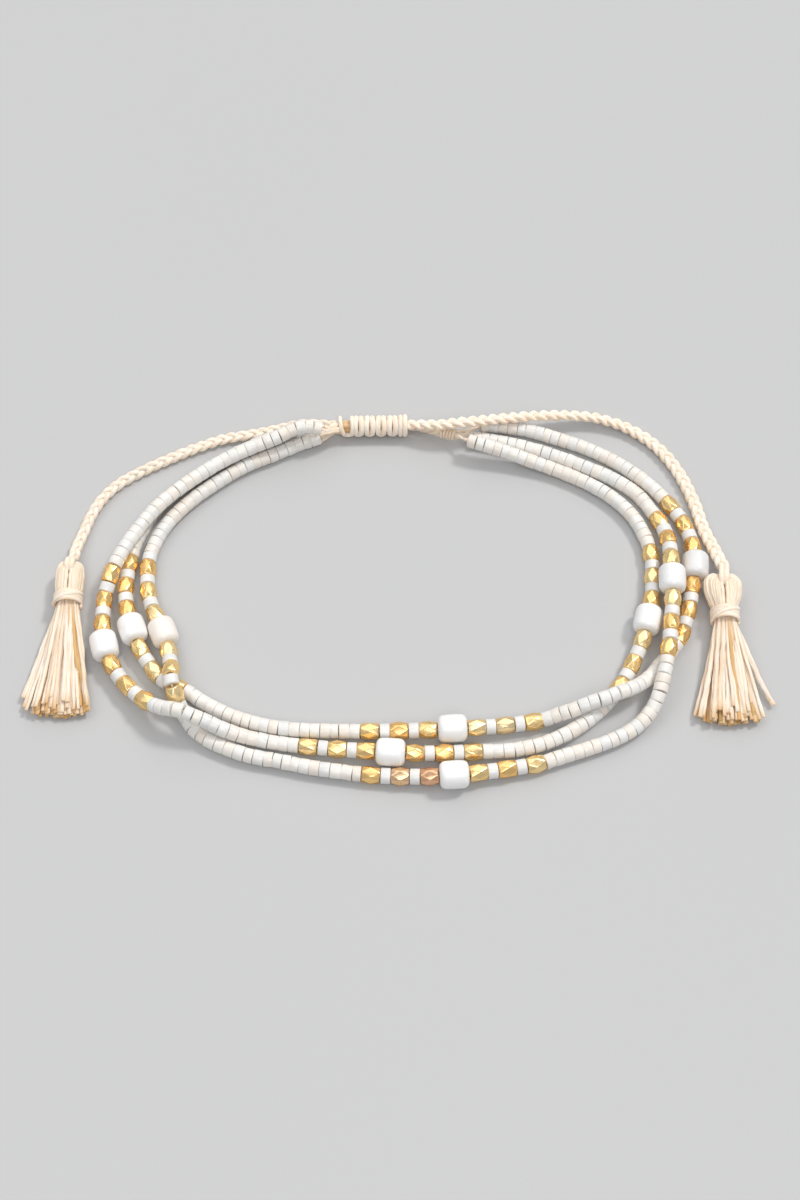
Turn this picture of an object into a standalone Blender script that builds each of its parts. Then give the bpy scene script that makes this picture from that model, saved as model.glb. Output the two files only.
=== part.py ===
"""Beaded bracelet, lying in its open loop.

Three strands of white seed beads and faceted gold beads carry nine white barrel beads.
Their threads gather at the back into two braided cords, which pass each other through
a sliding knot and end in tassels. Metres, +Z up, +Y towards the knot.
"""

import math

import bmesh
import bpy
from mathutils import Matrix, Vector

MM = 0.001
NAME = "beaded_bracelet"

# Beads and thread
SEED_RADIUS = 1.0 * MM
SEED_LENGTH = 1.3 * MM
GOLD_RADIUS = 1.2 * MM
GOLD_LENGTH = 2.3 * MM
GOLDS_PER_SIDE = 3
BARREL_RADIUS = 1.9 * MM
BARREL_LENGTH = 3.9 * MM
BARREL_EDGE = 0.85 * MM
BARREL_GAP = 0.2 * MM
THREAD_RADIUS = 0.25 * MM
BORE_CLEARANCE = 0.3 * MM
BEAD_SEAM = 0.1 * MM
BEAD_SIDES = 12
EDGE_STEPS = 2
RING_STEP = 5.0 * MM
CURVE_STEPS = 24
WELD_DISTANCE = 0.001 * MM

# Cords, gathers and knot
CORD_RADIUS = 0.75 * MM
CORD_POINTS_APART = 2.5  # diameters
CORD_BEVEL_STEPS = 2
GATHER_BEVEL_STEPS = 3
FACE_GAP = 0.3 * MM
KNOT_RADIUS = 1.55 * MM
KNOT_GROOVE = 0.3 * MM
KNOT_WRAPS = 6
WRAP_EDGE = 0.25  # share of a wrap's width, on each side
KNOT_LEFT = (-8.6, 27.9, 1.75)
KNOT_RIGHT = (0.9, 28.1, 1.65)

# Tassels, lying along -Y
HEAD_RADIUS = 1.9 * MM
HEAD_LENGTH = 4.6 * MM
NECK_RADIUS = 1.45 * MM
NECK_LENGTH = 2.9 * MM
BINDING_WALL = 0.35 * MM
BINDING_GROOVE = 0.15 * MM
BINDING_RADIUS = NECK_RADIUS + FACE_GAP + BINDING_WALL
BINDING_LENGTH = 2.3 * MM
BINDING_TURNS = 4
SKIRT_WIDTH = 9.6 * MM
LOCK_RADIUS = 0.72 * MM
LOCKS_BELOW = 6
LOCKS_ABOVE = 4
LAYER_RISE = 0.95 * MM
TASSEL_SIDES = 12
FLOOR_CLEARANCE = 0.05 * MM
TASSEL_HEIGHT = BINDING_RADIUS + FLOOR_CLEARANCE
HEAD_SECTIONS = [
    # share of the head's radius, share of its length
    (0.55, 0.04),
    (0.9, 0.25),
    (1.0, 0.55),
    (0.9, 0.85),
]
LOCK_SECTIONS = [
    # share of the way down, of the lock's place across, of its fall
    (0.0, 0.12, 0.0),
    (0.2, 0.24, 0.2),
    (0.45, 0.5, 0.6),
    (1.0, 1.0, 1.0),
]
LOCK_TOP = 0.55  # share of the neck's length
LOCK_TOP_WIDTH = 0.75  # share of the lock's radius
UPPER_LAYER_WIDTH = 0.75  # share of the lower layer's width
TIP_SHORTER = 0.4  # lock radii
SIDE_TIP_SHORTER = 1.6  # lock radii, at the skirt's two sides
TASSELS = {
    # side: place of the head's top in mm, whole length in mm, turn about Z in degrees
    "left": ((-46.0, 4.7), 23.4, 0.0),
    "right": ((44.8, 3.8), 22.8, -1.0),
}

# Routes of the strands' threads in mm, from the left gather round to the right one
STRAND_ROUTES = {
    "strand_1": [
        (-11.0, 25.9, 3.5), (-11.9, 26.0, 3.9), (-13.4, 26.2, 4.1), (-15.5, 25.7, 4.2),
        (-18.1, 24.4, 3.9), (-21.2, 23.3, 3.3), (-25.2, 21.3, 3.0), (-30.1, 17.6, 3.0),
        (-34.4, 13.3, 3.1), (-37.6, 8.2, 3.3), (-39.5, 4.3, 3.3), (-40.3, 2.0, 2.9),
        (-41.0, -1.3, 2.0), (-41.0, -5.0, 2.0), (-40.5, -8.6, 2.0), (-39.2, -11.6, 1.8),
        (-37.0, -14.6, 1.8), (-34.4, -17.1, 2.5), (-32.3, -18.6, 3.5), (-30.4, -19.4, 4.4),
        (-29.1, -19.8, 4.6), (-27.6, -20.3, 4.2), (-25.8, -20.8, 3.5), (-23.5, -21.6, 2.7),
        (-20.9, -22.1, 1.7), (-17.6, -22.6, 1.1), (-13.6, -23.2, 1.1), (-10.0, -23.6, 1.2),
        (-6.0, -24.0, 1.4), (-1.4, -24.5, 1.8), (3.4, -24.4, 1.4), (7.6, -24.2, 1.2),
        (11.1, -24.0, 1.1), (14.5, -23.8, 1.1), (18.3, -23.0, 1.1), (21.5, -21.6, 1.1),
        (24.3, -19.8, 1.1), (26.6, -17.8, 1.1), (28.4, -15.7, 1.1), (30.0, -13.4, 1.2),
        (31.5, -10.5, 1.3), (32.9, -7.2, 1.6), (33.7, -4.3, 1.8), (34.4, -1.3, 1.6),
        (34.8, 2.3, 1.3), (34.9, 6.0, 1.2), (34.2, 9.4, 1.1), (32.6, 12.9, 1.1),
        (30.0, 15.9, 1.1), (26.9, 18.2, 1.1), (23.0, 20.3, 1.1), (19.0, 21.8, 1.5),
        (15.2, 23.0, 2.2), (12.1, 23.8, 2.8), (9.9, 24.5, 2.9), (8.7, 25.2, 2.5),
    ],
    "strand_2": [
        (-11.0, 26.9, 2.2), (-12.5, 27.1, 2.2), (-14.1, 27.5, 2.2), (-15.9, 26.8, 2.3),
        (-18.2, 25.8, 2.0), (-21.4, 24.7, 1.4), (-25.4, 22.6, 1.1), (-30.4, 18.8, 1.1),
        (-34.7, 14.2, 1.1), (-37.2, 8.9, 1.1), (-37.9, 6.0, 1.1), (-38.2, 3.4, 1.2),
        (-38.3, 0.3, 1.4), (-37.8, -2.7, 1.6), (-36.9, -5.8, 1.8), (-35.6, -8.9, 1.5),
        (-33.9, -11.6, 1.2), (-32.5, -13.2, 1.2), (-30.8, -14.2, 1.2), (-29.0, -15.1, 1.1),
        (-26.5, -16.8, 1.1), (-22.8, -18.8, 1.1), (-18.7, -20.1, 1.1), (-14.3, -20.8, 1.1),
        (-9.0, -21.0, 1.1), (-3.9, -21.1, 1.2), (1.3, -21.1, 1.4), (6.6, -21.0, 1.8),
        (11.7, -20.5, 1.4), (16.8, -19.8, 1.2), (19.1, -19.3, 1.2), (21.0, -18.9, 1.9),
        (23.0, -18.5, 2.6), (25.0, -17.8, 3.1), (26.9, -17.3, 3.4), (29.0, -16.4, 3.4),
        (31.5, -15.0, 2.6), (33.5, -13.0, 1.5), (35.0, -11.0, 1.1), (36.6, -9.0, 1.1),
        (38.2, -6.4, 1.2), (39.5, -2.4, 1.4), (40.2, 1.1, 1.6), (40.8, 4.2, 1.8),
        (40.7, 7.6, 1.6), (39.8, 11.3, 1.3), (38.4, 14.0, 1.2), (36.4, 16.9, 1.1),
        (33.7, 19.7, 1.1), (30.2, 22.4, 1.1), (26.3, 24.6, 1.1), (22.3, 26.2, 1.1),
        (18.3, 27.6, 1.1), (14.3, 28.3, 1.1), (11.4, 28.3, 1.1), (9.2, 27.0, 1.6),
    ],
    "strand_3": [
        (-11.1, 26.3, 1.5), (-11.9, 26.2, 1.3), (-14.8, 25.2, 1.1), (-18.2, 23.5, 1.1),
        (-22.2, 21.6, 1.1), (-26.6, 18.5, 1.1), (-30.5, 15.0, 1.1), (-33.5, 11.1, 1.1),
        (-35.2, 6.8, 1.1), (-35.4, 2.3, 1.2), (-34.7, -1.5, 1.4), (-33.5, -4.3, 1.6),
        (-32.3, -7.3, 1.8), (-31.5, -10.5, 2.2), (-31.1, -12.6, 3.2), (-31.0, -14.4, 3.9),
        (-30.5, -16.1, 3.4), (-29.8, -17.5, 2.1), (-29.0, -19.0, 1.4), (-27.8, -20.7, 1.1),
        (-26.1, -22.1, 1.1), (-23.6, -23.4, 1.1), (-20.4, -24.6, 1.1), (-16.4, -25.4, 1.1),
        (-12.2, -26.3, 1.1), (-7.1, -27.1, 1.1), (-2.4, -27.6, 1.2), (2.7, -27.8, 1.4),
        (7.6, -27.7, 1.8), (12.5, -26.9, 1.4), (18.1, -25.8, 1.2), (21.4, -24.7, 1.1),
        (24.9, -23.5, 1.1), (28.4, -22.1, 1.1), (31.2, -20.4, 1.2), (33.1, -18.5, 1.7),
        (34.2, -16.6, 2.5), (34.9, -14.5, 3.1), (35.5, -12.1, 3.5), (36.0, -9.7, 3.6),
        (36.4, -7.5, 3.6), (36.8, -4.3, 3.5), (37.1, -1.1, 3.6), (37.2, 1.9, 3.7),
        (37.3, 5.5, 3.3), (36.9, 9.8, 2.0), (35.5, 13.3, 1.3), (33.4, 16.6, 1.1),
        (30.1, 19.2, 1.1), (25.9, 21.4, 1.1), (21.6, 23.3, 1.1), (17.9, 24.6, 1.1),
        (14.5, 25.5, 1.1), (11.4, 26.1, 1.1), (9.1, 26.1, 1.4),
    ],
}
# Bare thread at each strand's two ends, and the way along it to each barrel bead, in mm
STRAND_TAILS = {"strand_1": (0.7, 1.1), "strand_2": (3.3, 2.6), "strand_3": (0.8, 1.2)}
BARRELS_AT = {
    "strand_1": {"left": 51.3, "front": 97.1, "right": 142.3},
    "strand_2": {"left": 49.2, "front": 98.8, "right": 147.2},
    "strand_3": {"left": 46.1, "front": 98.5, "right": 147.4},
}

# Routes of the two free cords in mm, from the knot to the tassels
CORD_ROUTES = {
    "left": [
        (-8.9, 28.5, 0.95), (-10.5, 28.7, 0.8), (-12.5, 28.9, 0.8), (-14.4, 28.9, 0.8),
        (-16.3, 28.5, 0.8), (-18.1, 28.0, 0.8), (-20.4, 27.4, 0.8), (-23.0, 26.9, 0.8),
        (-26.1, 26.2, 0.8), (-29.8, 24.7, 0.8), (-33.8, 22.7, 0.8), (-37.4, 20.7, 0.8),
        (-40.4, 18.6, 0.8), (-42.5, 16.3, 0.8), (-44.0, 13.4, 0.8), (-44.9, 10.4, 0.9),
        (-45.6, 7.5, 1.4), (-45.9, 5.0, 2.0),
    ],
    "right": [
        (1.3, 27.8, 2.3), (2.9, 27.5, 2.7), (5.5, 27.1, 3.3), (8.6, 27.2, 3.7),
        (12.1, 27.8, 3.4), (15.9, 28.6, 2.9), (20.0, 29.3, 2.4), (24.2, 29.7, 1.9),
        (28.3, 29.6, 1.4), (32.0, 28.5, 1.0), (35.0, 26.7, 0.8), (37.3, 24.4, 0.8),
        (39.3, 21.3, 0.8), (40.8, 17.8, 0.8), (41.8, 14.4, 0.8), (42.6, 10.7, 0.9),
        (43.7, 7.3, 1.3), (44.6, 4.1, 2.0),
    ],
}
# Gathers: points in mm with the bundle's radius in mm at each
GATHER_LEFT = [
    ((-10.6, 26.7, 2.5), 1.45), ((-10.1, 26.9, 2.5), 1.4), ((-9.5, 27.1, 2.45), 1.1),
    ((-9.0, 27.3, 2.4), 0.8),
]
GATHER_RIGHT = [
    ((8.2, 25.8, 2.0), 1.15), ((7.4, 26.2, 1.8), 1.1), ((6.6, 26.6, 1.5), 0.9),
    ((5.6, 27.1, 1.2), 0.7), ((4.2, 27.7, 1.0), 0.65), ((2.6, 28.3, 0.85), 0.65),
    ((1.2, 28.5, 0.8), 0.65),
]

COLOURS = {
    # name: base colour, metallic, roughness
    "seed_white": ((0.88, 0.86, 0.82), 0.0, 0.35),
    "gold": ((0.83, 0.60, 0.22), 1.0, 0.22),
    "barrel_white": ((0.90, 0.89, 0.86), 0.0, 0.25),
    "cream_cord": ((0.86, 0.75, 0.60), 0.0, 0.85),
    "cream_thread": ((0.85, 0.73, 0.58), 0.0, 0.8),
}


def clear_scene():
    for item in list(bpy.data.objects):
        bpy.data.objects.remove(item)


def new_collection(name):
    collection = bpy.data.collections.new(name)
    bpy.context.scene.collection.children.link(collection)
    return collection


def material(colour_name, owner):
    """A material of the owner's own, in one of the named colours."""
    colour, metallic, roughness = COLOURS[colour_name]
    made = bpy.data.materials.new(f"{owner}_{colour_name}")
    made.use_nodes = True
    shader = made.node_tree.nodes["Principled BSDF"]
    shader.inputs["Base Color"].default_value = (*colour, 1.0)
    shader.inputs["Metallic"].default_value = metallic
    shader.inputs["Roughness"].default_value = roughness
    return made


def in_metres(points):
    return [Vector(point) * MM for point in points]


def curve_through(points):
    """A centripetal Catmull-Rom curve through the points, as a dense list of points."""
    ends = [2 * points[0] - points[1], *points, 2 * points[-1] - points[-2]]
    dense = []
    for before, start, stop, after in zip(ends, ends[1:], ends[2:], ends[3:]):
        knots = [0.0]
        for a, b in ((before, start), (start, stop), (stop, after)):
            knots.append(knots[-1] + math.sqrt((b - a).length))
        for i in range(CURVE_STEPS):
            t = knots[1] + (knots[2] - knots[1]) * i / CURVE_STEPS
            dense.append(blend_spans((before, start, stop, after), knots, t))
    dense.append(points[-1])
    return dense


def blend_spans(four, knots, t):
    """The point at t of the span between the middle two of four points."""
    level = list(four)
    for reach, pairs in ((1, 3), (2, 2)):
        level = [
            mix(level[i], level[i + 1], knots[i], knots[i + reach], t) for i in range(pairs)
        ]
    return mix(level[0], level[1], knots[1], knots[2], t)


def mix(a, b, at_a, at_b, t):
    share = (t - at_a) / (at_b - at_a)
    return a * (1 - share) + b * share


class Route:
    """A smooth line that is read by the distance along it."""

    def __init__(self, points):
        self.points = curve_through(points)
        self.along = [0.0]
        for a, b in zip(self.points, self.points[1:]):
            self.along.append(self.along[-1] + (b - a).length)
        self.length = self.along[-1]

    def place(self, distance):
        """The point at a distance, and the direction of the line there."""
        distance = min(max(distance, 0.0), self.length)
        last = len(self.along) - 2
        i = min(sum(1 for value in self.along[1:] if value < distance), last)
        a, b = self.points[i], self.points[i + 1]
        share = (distance - self.along[i]) / (self.along[i + 1] - self.along[i])
        return a.lerp(b, share), (b - a).normalized()

    def spaced(self, step):
        """Points at even distances of about step, both ends among them."""
        count = max(2, round(self.length / step))
        return [self.place(self.length * i / count)[0] for i in range(count + 1)]


def level_frame(direction):
    """Two directions across a line: one level, one as near upright as can be."""
    side = direction.cross(Vector((0, 0, 1))).normalized()
    return side, side.cross(direction)


def bead_ring(kind, radius):
    """Radii round one ring: a plain circle, or a faceted bead's end or middle hexagon."""
    flat = math.cos(math.pi / 6)
    if kind == "facet_middle":
        return [radius * (1 if k % 2 == 0 else flat) for k in range(BEAD_SIDES)]
    if kind == "facet_end":
        return [radius * flat * (flat if k % 2 == 0 else 1) for k in range(BEAD_SIDES)]
    return [radius] * BEAD_SIDES


def half_group():
    """The run of beads on one side of a barrel bead, as kinds from the barrel outwards."""
    run = []
    for i in range(GOLDS_PER_SIDE):
        if i:
            run.append("seed")
        run.append("gold")
    return run


def bead_length(kind):
    return GOLD_LENGTH + 2 * BEAD_SEAM if kind == "gold" else SEED_LENGTH


def half_group_length():
    return BARREL_LENGTH / 2 + BARREL_GAP + sum(bead_length(kind) for kind in half_group())


def strand_rings(strand, length):
    """Rings along a strand: distance, kind, radius and the colour of the band after it."""
    tail_start, tail_end = (value * MM for value in STRAND_TAILS[strand])
    rings = [(0.0, "round", THREAD_RADIUS, "cream_thread")]
    rings.append((tail_start, "round", THREAD_RADIUS, "seed_white"))
    reached = tail_start
    for distance in BARRELS_AT[strand].values():
        centre = distance * MM
        seed_stretch(rings, reached, centre - half_group_length())
        bead_run(rings, centre - half_group_length(), list(reversed(half_group())))
        gap_start = centre - BARREL_LENGTH / 2 - BARREL_GAP
        gap_end = centre + BARREL_LENGTH / 2 + BARREL_GAP
        rings.append((gap_start, "round", THREAD_RADIUS, "cream_thread"))
        rings.append((gap_end, "round", THREAD_RADIUS, "gold"))
        bead_run(rings, gap_end, half_group())
        reached = centre + half_group_length()
    seed_stretch(rings, reached, length - tail_end)
    rings.append((length - tail_end, "round", THREAD_RADIUS, "cream_thread"))
    rings.append((length, "round", THREAD_RADIUS, "cream_thread"))
    return rings


def seed_stretch(rings, start, end):
    """A stretch of seed beads as one plain tube."""
    count = max(1, math.ceil((end - start) / RING_STEP))
    for i in range(count + 1):
        rings.append((start + (end - start) * i / count, "round", SEED_RADIUS, "seed_white"))


def bead_run(rings, start, kinds):
    """A run of gold and seed beads that begins at a distance along the strand."""
    for kind in kinds:
        if kind == "seed":
            rings.append((start, "round", SEED_RADIUS, "seed_white"))
            rings.append((start + SEED_LENGTH, "round", SEED_RADIUS, "seed_white"))
        else:
            first = start + BEAD_SEAM
            rings.append((first, "facet_end", GOLD_RADIUS, "gold"))
            rings.append((first + GOLD_LENGTH / 2, "facet_middle", GOLD_RADIUS, "gold"))
            rings.append((first + GOLD_LENGTH, "facet_end", GOLD_RADIUS, "gold"))
        start += bead_length(kind)


def lofted_strand(name, route, collection):
    """One strand: its thread, seed beads and gold beads, lofted as one body."""
    colours = ["seed_white", "gold", "cream_thread"]
    bm = bmesh.new()
    loops = []
    rings = strand_rings(name, route.length)
    for distance, kind, radius, colour in rings:
        point, direction = route.place(distance)
        side, up = level_frame(direction)
        loop = []
        for k, reach in enumerate(bead_ring(kind, radius)):
            angle = 2 * math.pi * k / BEAD_SIDES
            loop.append(bm.verts.new(point + reach * (math.cos(angle) * side + math.sin(angle) * up)))
        loops.append(loop)
    for i in range(len(loops) - 1):
        kinds = {rings[i][1], rings[i + 1][1]}
        for face in band(bm, loops[i], loops[i + 1], kinds, rings[i][1]):
            face.material_index = colours.index(rings[i][3])
    bm.faces.new(reversed(loops[0])).material_index = colours.index("cream_thread")
    bm.faces.new(loops[-1]).material_index = colours.index("cream_thread")
    bmesh.ops.recalc_face_normals(bm, faces=bm.faces)
    mesh = bpy.data.meshes.new(name)
    bm.to_mesh(mesh)
    bm.free()
    for colour in colours:
        mesh.materials.append(material(colour, name))
    strand = bpy.data.objects.new(name, mesh)
    collection.objects.link(strand)
    return strand


def band(bm, loop_a, loop_b, kinds, first_kind):
    """Faces between two rings; a gold bead's facets are split from its middle corners."""
    faces = []
    for k in range(BEAD_SIDES):
        n = (k + 1) % BEAD_SIDES
        a0, a1, b0, b1 = loop_a[k], loop_a[n], loop_b[k], loop_b[n]
        if kinds != {"facet_end", "facet_middle"}:
            faces.append(bm.faces.new((a0, a1, b1, b0)))
        elif (first_kind == "facet_middle") == (k % 2 == 0):
            faces.append(bm.faces.new((a0, a1, b1)))
            faces.append(bm.faces.new((a0, b1, b0)))
        else:
            faces.append(bm.faces.new((a0, a1, b0)))
            faces.append(bm.faces.new((a1, b1, b0)))
    return faces


def turned(name, profile, closed, sides, colour, collection):
    """A shape turned about its own Z from (radius, height) pairs, top to bottom."""
    mesh = bpy.data.meshes.new(name)
    vertices = [(radius, 0.0, height) for radius, height in profile]
    edges = [(i, i + 1) for i in range(len(profile) - 1)]
    if closed:
        edges.append((len(profile) - 1, 0))
    mesh.from_pydata(vertices, edges, [])
    shape = bpy.data.objects.new(name, mesh)
    collection.objects.link(shape)
    mesh.materials.append(material(colour, name))
    screw = shape.modifiers.new("Turn", "SCREW")
    screw.axis = "Z"
    screw.steps = sides
    screw.render_steps = sides
    screw.use_smooth_shade = True
    screw.use_merge_vertices = True
    screw.merge_threshold = WELD_DISTANCE
    return shape


def barrel_profile():
    """A drilled barrel bead in section: rounded outer edges, plain bore."""
    bore = THREAD_RADIUS + BORE_CLEARANCE
    half = BARREL_LENGTH / 2
    corner = [
        (BARREL_RADIUS - BARREL_EDGE * (1 - math.sin(a)), half - BARREL_EDGE * (1 - math.cos(a)))
        for a in (math.pi / 2 * i / EDGE_STEPS for i in range(EDGE_STEPS + 1))
    ]
    lower = [(radius, -height) for radius, height in reversed(corner)]
    return [(bore, half), *corner, *lower, (bore, -half)]


def barrel_bead(name, route, distance, collection):
    """A barrel bead threaded on its strand, with a flat of its side downwards."""
    point, direction = route.place(distance)
    resting = BARREL_RADIUS * math.cos(math.pi / BEAD_SIDES)
    if point.z <= resting:
        point.z = resting
        direction.z = 0.0
        direction.normalize()
    bead = turned(name, barrel_profile(), True, BEAD_SIDES, "barrel_white", collection)
    side, up = level_frame(direction)
    turn = Matrix((side, up, direction)).transposed().to_4x4()
    bead.matrix_world = Matrix.Translation(point) @ turn @ Matrix.Rotation(
        math.pi / BEAD_SIDES, 4, "Z"
    )
    return bead


def bevelled_curve(name, points, radii, depth, resolution, collection):
    """A round tube with filled caps through the points, its radius set at each."""
    curve = bpy.data.curves.new(name, "CURVE")
    curve.dimensions = "3D"
    curve.bevel_depth = depth
    curve.bevel_resolution = resolution
    curve.use_fill_caps = True
    spline = curve.splines.new("POLY")
    spline.points.add(len(points) - 1)
    for spot, point, radius in zip(spline.points, points, radii):
        spot.co = (*point, 1.0)
        spot.radius = radius / depth
    tube = bpy.data.objects.new(name, curve)
    collection.objects.link(tube)
    return tube


def free_cord(side, collection):
    """A free cord's plain tube, along its route."""
    name = f"cord_{side}"
    points = Route(in_metres(CORD_ROUTES[side])).spaced(2 * CORD_RADIUS * CORD_POINTS_APART)
    radii = [CORD_RADIUS] * len(points)
    cord = bevelled_curve(name, points, radii, CORD_RADIUS, CORD_BEVEL_STEPS, collection)
    cord.data.materials.append(material("cream_cord", name))
    return cord


def gather(name, sections, collection):
    """A bundle of threads that narrows from the strands' ends to the knot."""
    points = in_metres(point for point, radius in sections)
    radii = [radius * MM for point, radius in sections]
    bundle = bevelled_curve(name, points, radii, CORD_RADIUS, GATHER_BEVEL_STEPS, collection)
    bundle.data.materials.append(material("cream_cord", name))
    return bundle


def sliding_knot(collection):
    """The wrapped knot, turned as a row of round wraps."""
    left, right = in_metres((KNOT_LEFT, KNOT_RIGHT))
    axis = right - left
    half = axis.length / 2
    pitch = axis.length / KNOT_WRAPS
    profile = [(0.0, half)]
    for i in range(KNOT_WRAPS):
        top = half - i * pitch
        profile.append((KNOT_RADIUS - KNOT_GROOVE, top))
        profile.append((KNOT_RADIUS, top - pitch * WRAP_EDGE))
        profile.append((KNOT_RADIUS, top - pitch * (1 - WRAP_EDGE)))
    profile += [(KNOT_RADIUS - KNOT_GROOVE, -half), (0.0, -half)]
    knot = turned("sliding_knot", profile, False, BEAD_SIDES, "cream_cord", collection)
    knot.location = (left + right) / 2
    knot.rotation_mode = "QUATERNION"
    knot.rotation_quaternion = axis.to_track_quat("Z", "Y")
    return knot


def tassel_head(name, collection):
    """The looped top of a tassel and the neck under its binding, along local -Z."""
    neck_end = HEAD_LENGTH + NECK_LENGTH
    profile = [
        (0.0, 0.0),
        *((HEAD_RADIUS * wide, -HEAD_LENGTH * down) for wide, down in HEAD_SECTIONS),
        (NECK_RADIUS, -HEAD_LENGTH),
        (NECK_RADIUS, -neck_end),
        (0.0, -neck_end - NECK_RADIUS),
    ]
    return turned(name, profile, False, TASSEL_SIDES, "cream_thread", collection)


def lock_line(share, layer, length):
    """The middle line of one lock of the skirt; share runs from -1 to 1 across it."""
    top = HEAD_LENGTH + NECK_LENGTH * LOCK_TOP
    tip = length - LOCK_RADIUS * (TIP_SHORTER + SIDE_TIP_SHORTER * abs(share))
    reach = SKIRT_WIDTH / 2 - LOCK_RADIUS
    if layer:
        reach *= UPPER_LAYER_WIDTH
    fall = LOCK_RADIUS + 2 * FLOOR_CLEARANCE - TASSEL_HEIGHT + layer * LAYER_RISE
    line = []
    for along, spread, drop in LOCK_SECTIONS:
        line.append(Vector((share * reach * spread, fall * drop, -(top + (tip - top) * along))))
    return line


def as_mesh_object(tube, collection):
    """A curve's evaluated shape as a mesh with its caps welded."""
    evaluated = tube.evaluated_get(bpy.context.evaluated_depsgraph_get())
    mesh = bpy.data.meshes.new_from_object(evaluated)
    bm = bmesh.new()
    bm.from_mesh(mesh)
    bmesh.ops.remove_doubles(bm, verts=bm.verts, dist=WELD_DISTANCE)
    bmesh.ops.recalc_face_normals(bm, faces=bm.faces)
    bm.to_mesh(mesh)
    bm.free()
    made = bpy.data.objects.new(tube.name, mesh)
    made.matrix_world = tube.matrix_world
    collection.objects.link(made)
    bpy.data.objects.remove(tube)
    return made


def tassel(side, collection, cutters):
    """A tassel lying down: its head with the skirt's locks fused to it."""
    name = f"tassel_{side}"
    (x, y), length, turn = TASSELS[side]
    head = tassel_head(name, collection)
    locks = bpy.data.collections.new(f"{name}_locks")
    cutters.children.link(locks)
    for layer, count in enumerate((LOCKS_BELOW, LOCKS_ABOVE)):
        for i in range(count):
            share = 2 * i / (count - 1) - 1
            points = Route(lock_line(share, layer, length * MM)).spaced(4 * LOCK_RADIUS)
            radii = [LOCK_RADIUS * LOCK_TOP_WIDTH] + [LOCK_RADIUS] * (len(points) - 1)
            tube = bevelled_curve(
                f"{name}_lock_{layer}_{i}", points, radii, LOCK_RADIUS, CORD_BEVEL_STEPS, locks
            )
            bpy.context.view_layer.update()
            lock = as_mesh_object(tube, locks)
            lock.hide_render = True
            lock.display_type = "WIRE"
            place_tassel_piece(lock, x, y, turn)
    union = head.modifiers.new("Locks", "BOOLEAN")
    union.operation = "UNION"
    union.operand_type = "COLLECTION"
    union.collection = locks
    union.solver = "EXACT"
    place_tassel_piece(head, x, y, turn)
    return head


def place_tassel_piece(piece, x, y, turn):
    """Lays a piece made along local -Z down along -Y, with local +Y upwards."""
    lay = Matrix(((-1, 0, 0, 0), (0, 0, 1, 0), (0, 1, 0, 0), (0, 0, 0, 1)))
    turned_to = Matrix.Rotation(math.radians(turn), 4, "Z")
    piece.matrix_world = Matrix.Translation((x * MM, y * MM, TASSEL_HEIGHT)) @ turned_to @ lay


def binding(side, collection):
    """The thread wound round a tassel's neck, as a turned ring of round turns."""
    name = f"binding_{side}"
    (x, y), length, turn = TASSELS[side]
    inner = BINDING_RADIUS - BINDING_WALL
    top = -HEAD_LENGTH - (NECK_LENGTH - BINDING_LENGTH) / 2
    pitch = BINDING_LENGTH / BINDING_TURNS
    profile = [(inner, top)]
    for i in range(BINDING_TURNS):
        profile.append((BINDING_RADIUS - BINDING_GROOVE, top - i * pitch))
        profile.append((BINDING_RADIUS, top - (i + 0.5) * pitch))
    profile.append((BINDING_RADIUS - BINDING_GROOVE, top - BINDING_LENGTH))
    profile.append((inner, top - BINDING_LENGTH))
    ring = turned(name, profile, True, TASSEL_SIDES, "cream_thread", collection)
    place_tassel_piece(ring, x, y, turn)
    return ring


def build():
    clear_scene()
    parts = new_collection(NAME)
    cutters = new_collection("cutters")
    pieces = []
    for strand, points in STRAND_ROUTES.items():
        route = Route(in_metres(points))
        number = strand.split("_")[1]
        pieces.append(lofted_strand(strand, route, parts))
        for place, distance in BARRELS_AT[strand].items():
            pieces.append(barrel_bead(f"barrel_{number}_{place}", route, distance * MM, parts))
    pieces.append(gather("gather_left", GATHER_LEFT, parts))
    pieces.append(gather("gather_right", GATHER_RIGHT, parts))
    pieces.append(sliding_knot(parts))
    for side in TASSELS:
        pieces.append(free_cord(side, parts))
        pieces.append(tassel(side, parts, cutters))
        pieces.append(binding(side, parts))
    holder = bpy.data.objects.new(NAME, None)
    parts.objects.link(holder)
    for piece in pieces:
        piece.parent = holder


build()
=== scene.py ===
"""The looks of a beaded bracelet that lies in its open loop.

Seed beads, faceted beads, barrel beads, braids, knot and tassels are modelled one by one
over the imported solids. Metres, +Z up, +Y towards the knot, as in the frame.
"""

import math
import random

import bmesh
import bpy
import numpy as np
from mathutils import Matrix, Vector


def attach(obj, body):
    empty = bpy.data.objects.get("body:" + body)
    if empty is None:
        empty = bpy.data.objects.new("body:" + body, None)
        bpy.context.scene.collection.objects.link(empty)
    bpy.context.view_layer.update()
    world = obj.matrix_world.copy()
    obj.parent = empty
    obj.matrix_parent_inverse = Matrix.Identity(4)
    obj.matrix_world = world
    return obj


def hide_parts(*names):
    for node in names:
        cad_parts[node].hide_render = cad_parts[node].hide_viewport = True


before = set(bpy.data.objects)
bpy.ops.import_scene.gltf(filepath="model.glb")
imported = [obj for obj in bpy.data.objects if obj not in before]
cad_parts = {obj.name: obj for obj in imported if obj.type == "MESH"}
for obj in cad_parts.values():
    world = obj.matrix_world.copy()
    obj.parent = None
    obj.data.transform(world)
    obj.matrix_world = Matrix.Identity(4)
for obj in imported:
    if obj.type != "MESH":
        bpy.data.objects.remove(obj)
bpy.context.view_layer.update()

BODY = "root"
MM = 0.001
UP = (0.0, 0.0, 1.0)
FULL_TURN = 2 * math.pi

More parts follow.
